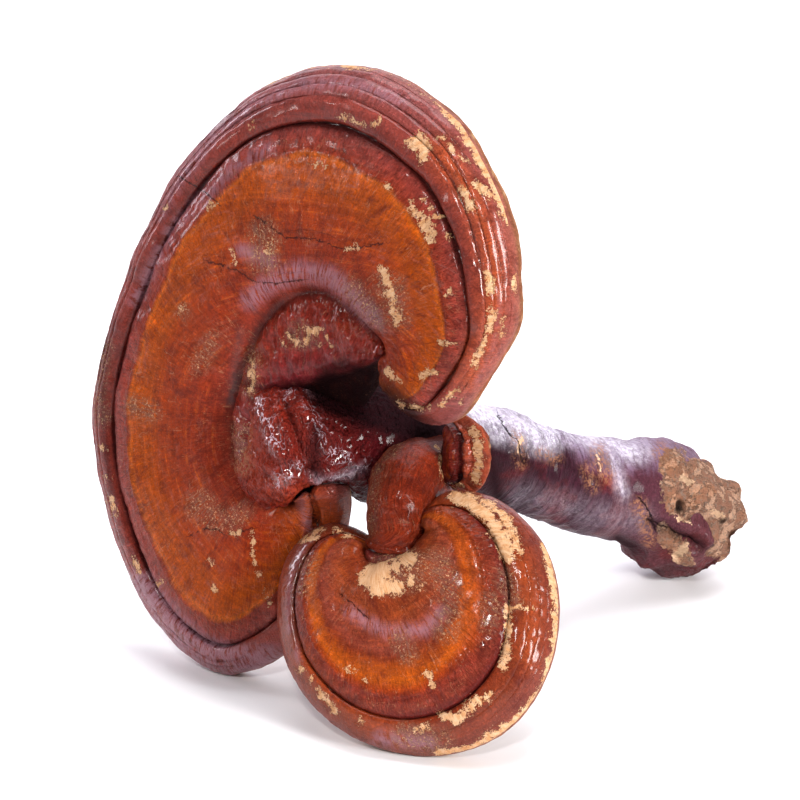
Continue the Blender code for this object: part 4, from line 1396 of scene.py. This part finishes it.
FLOOR_SIZE = 3.0
SKY_COLOUR = (0.90, 0.93, 1.0, 1.0)
SKY_STRENGTH = 0.14
LIGHTS = (
    # name, place in metres, what it faces, width and height, watts, spread in degrees, colour
    ("top_box", (0.05, 0.28, 0.85), (0.0, 0.30, 0.0), (0.8, 0.6), 2.7, 84.0, (0.95, 0.96, 1.0)),
    ("back_box", (0.10, 1.20, 0.66), (0.0, 0.0, 0.08), (1.6, 1.3), 15.0, 180.0, (0.95, 0.90, 1.0)),
    ("left_back_box", (-1.05, 0.45, 0.40), (0.0, 0.0, 0.06), (0.16, 0.55), 0.85, 70.0, (0.94, 0.90, 1.0)),
    ("left_strip", (-0.85, -0.25, 0.30), (0.0, 0.0, 0.06), (0.012, 0.30), 0.18, 70.0, (1.0, 0.97, 0.95)),
    ("right_box", (0.60, -0.56, 0.30), (0.0, 0.0, 0.06), (0.20, 0.36), 2.8, 100.0, (1.0, 0.98, 0.96)),
    ("front_box", (-0.12, -0.90, 0.80), (0.0, 0.0, 0.06), (0.14, 0.10), 0.34, 50.0, (1.0, 0.98, 0.95)),
)


def aimed(place, target):
    """Matrix of a camera or light at a place whose -Z looks at the target, with its Y upwards."""
    place, target = np.array(place), np.array(target)
    back = (place - target) / np.linalg.norm(place - target)
    right = np.cross([0.0, 0.0, 1.0], back)
    right /= np.linalg.norm(right)
    upper = np.cross(back, right)
    turned = np.eye(4)
    turned[:3, :3] = np.stack([right, upper, back], axis=1)
    turned[:3, 3] = place
    return Matrix(turned.tolist())


def set_camera():
    """The photograph's camera, from the lens and the places at the top."""
    camera = bpy.data.cameras.new("camera")
    camera.lens = LENS
    camera.sensor_width = SENSOR
    holder = put("camera", camera)
    place = LOOK_AT - CAMERA_DISTANCE * camera_axes()[2]
    holder.matrix_world = aimed(to_frame(place), to_frame(LOOK_AT))
    bpy.context.scene.camera = holder


def set_lights():
    """Soft boxes round the table, and a faint even sky."""
    for name, place, target, size, power, spread, colour in LIGHTS:
        light = bpy.data.lights.new(name, "AREA")
        light.shape = "RECTANGLE"
        light.size, light.size_y = size
        light.energy = power
        light.spread = math.radians(spread)
        light.color = colour
        put(name, light).matrix_world = aimed(place, target)
    world = bpy.data.worlds.new("studio")
    world.use_nodes = True
    sky = world.node_tree.nodes["Background"].inputs
    sky["Color"].default_value = SKY_COLOUR
    sky["Strength"].default_value = SKY_STRENGTH
    bpy.context.scene.world = world
    bpy.context.scene.view_settings.view_transform = "Standard"


def set_floor():
    """A square of table top under the mushroom."""
    mesh = bpy.data.meshes.new("floor")
    half = FLOOR_SIZE / 2.0
    corners = [(-half, -half, 0.0), (half, -half, 0.0), (half, half, 0.0), (-half, half, 0.0)]
    mesh.from_pydata(corners, [], [(0, 1, 2, 3)])
    floor = put("floor", mesh)
    mesh.materials.append(floor_finish())


set_camera()
set_lights()
set_floor()
large = cap_piece("large_cap_skin", LARGE, LARGE_MARKS, 11)
small = cap_piece("small_cap_skin", SMALL, SMALL_MARKS, 21)
bud = cap_piece("bud_cap_skin", BUD, BUD_MARKS, 51)
branch_crust = cap_lacquer("branch_lacquer", BRANCH_COLOURS, gloss=0.55, puckered=2.6)
dress(large, cap_lacquer("cap_lacquer", CAP_COLOURS), "large_cap", "large_cap")
dress(small, cap_lacquer("small_lacquer", SMALL_COLOURS, spoked=0.25), "small_cap", "small_cap")
dress(bud, cap_lacquer("bud_lacquer", BUD_COLOURS), "bud_cap", "bud_cap")
dress(branch_piece(), branch_crust, "branch_stem", "branch_stem")
dress(stem_piece(), stem_skin(), "stem", "stem")
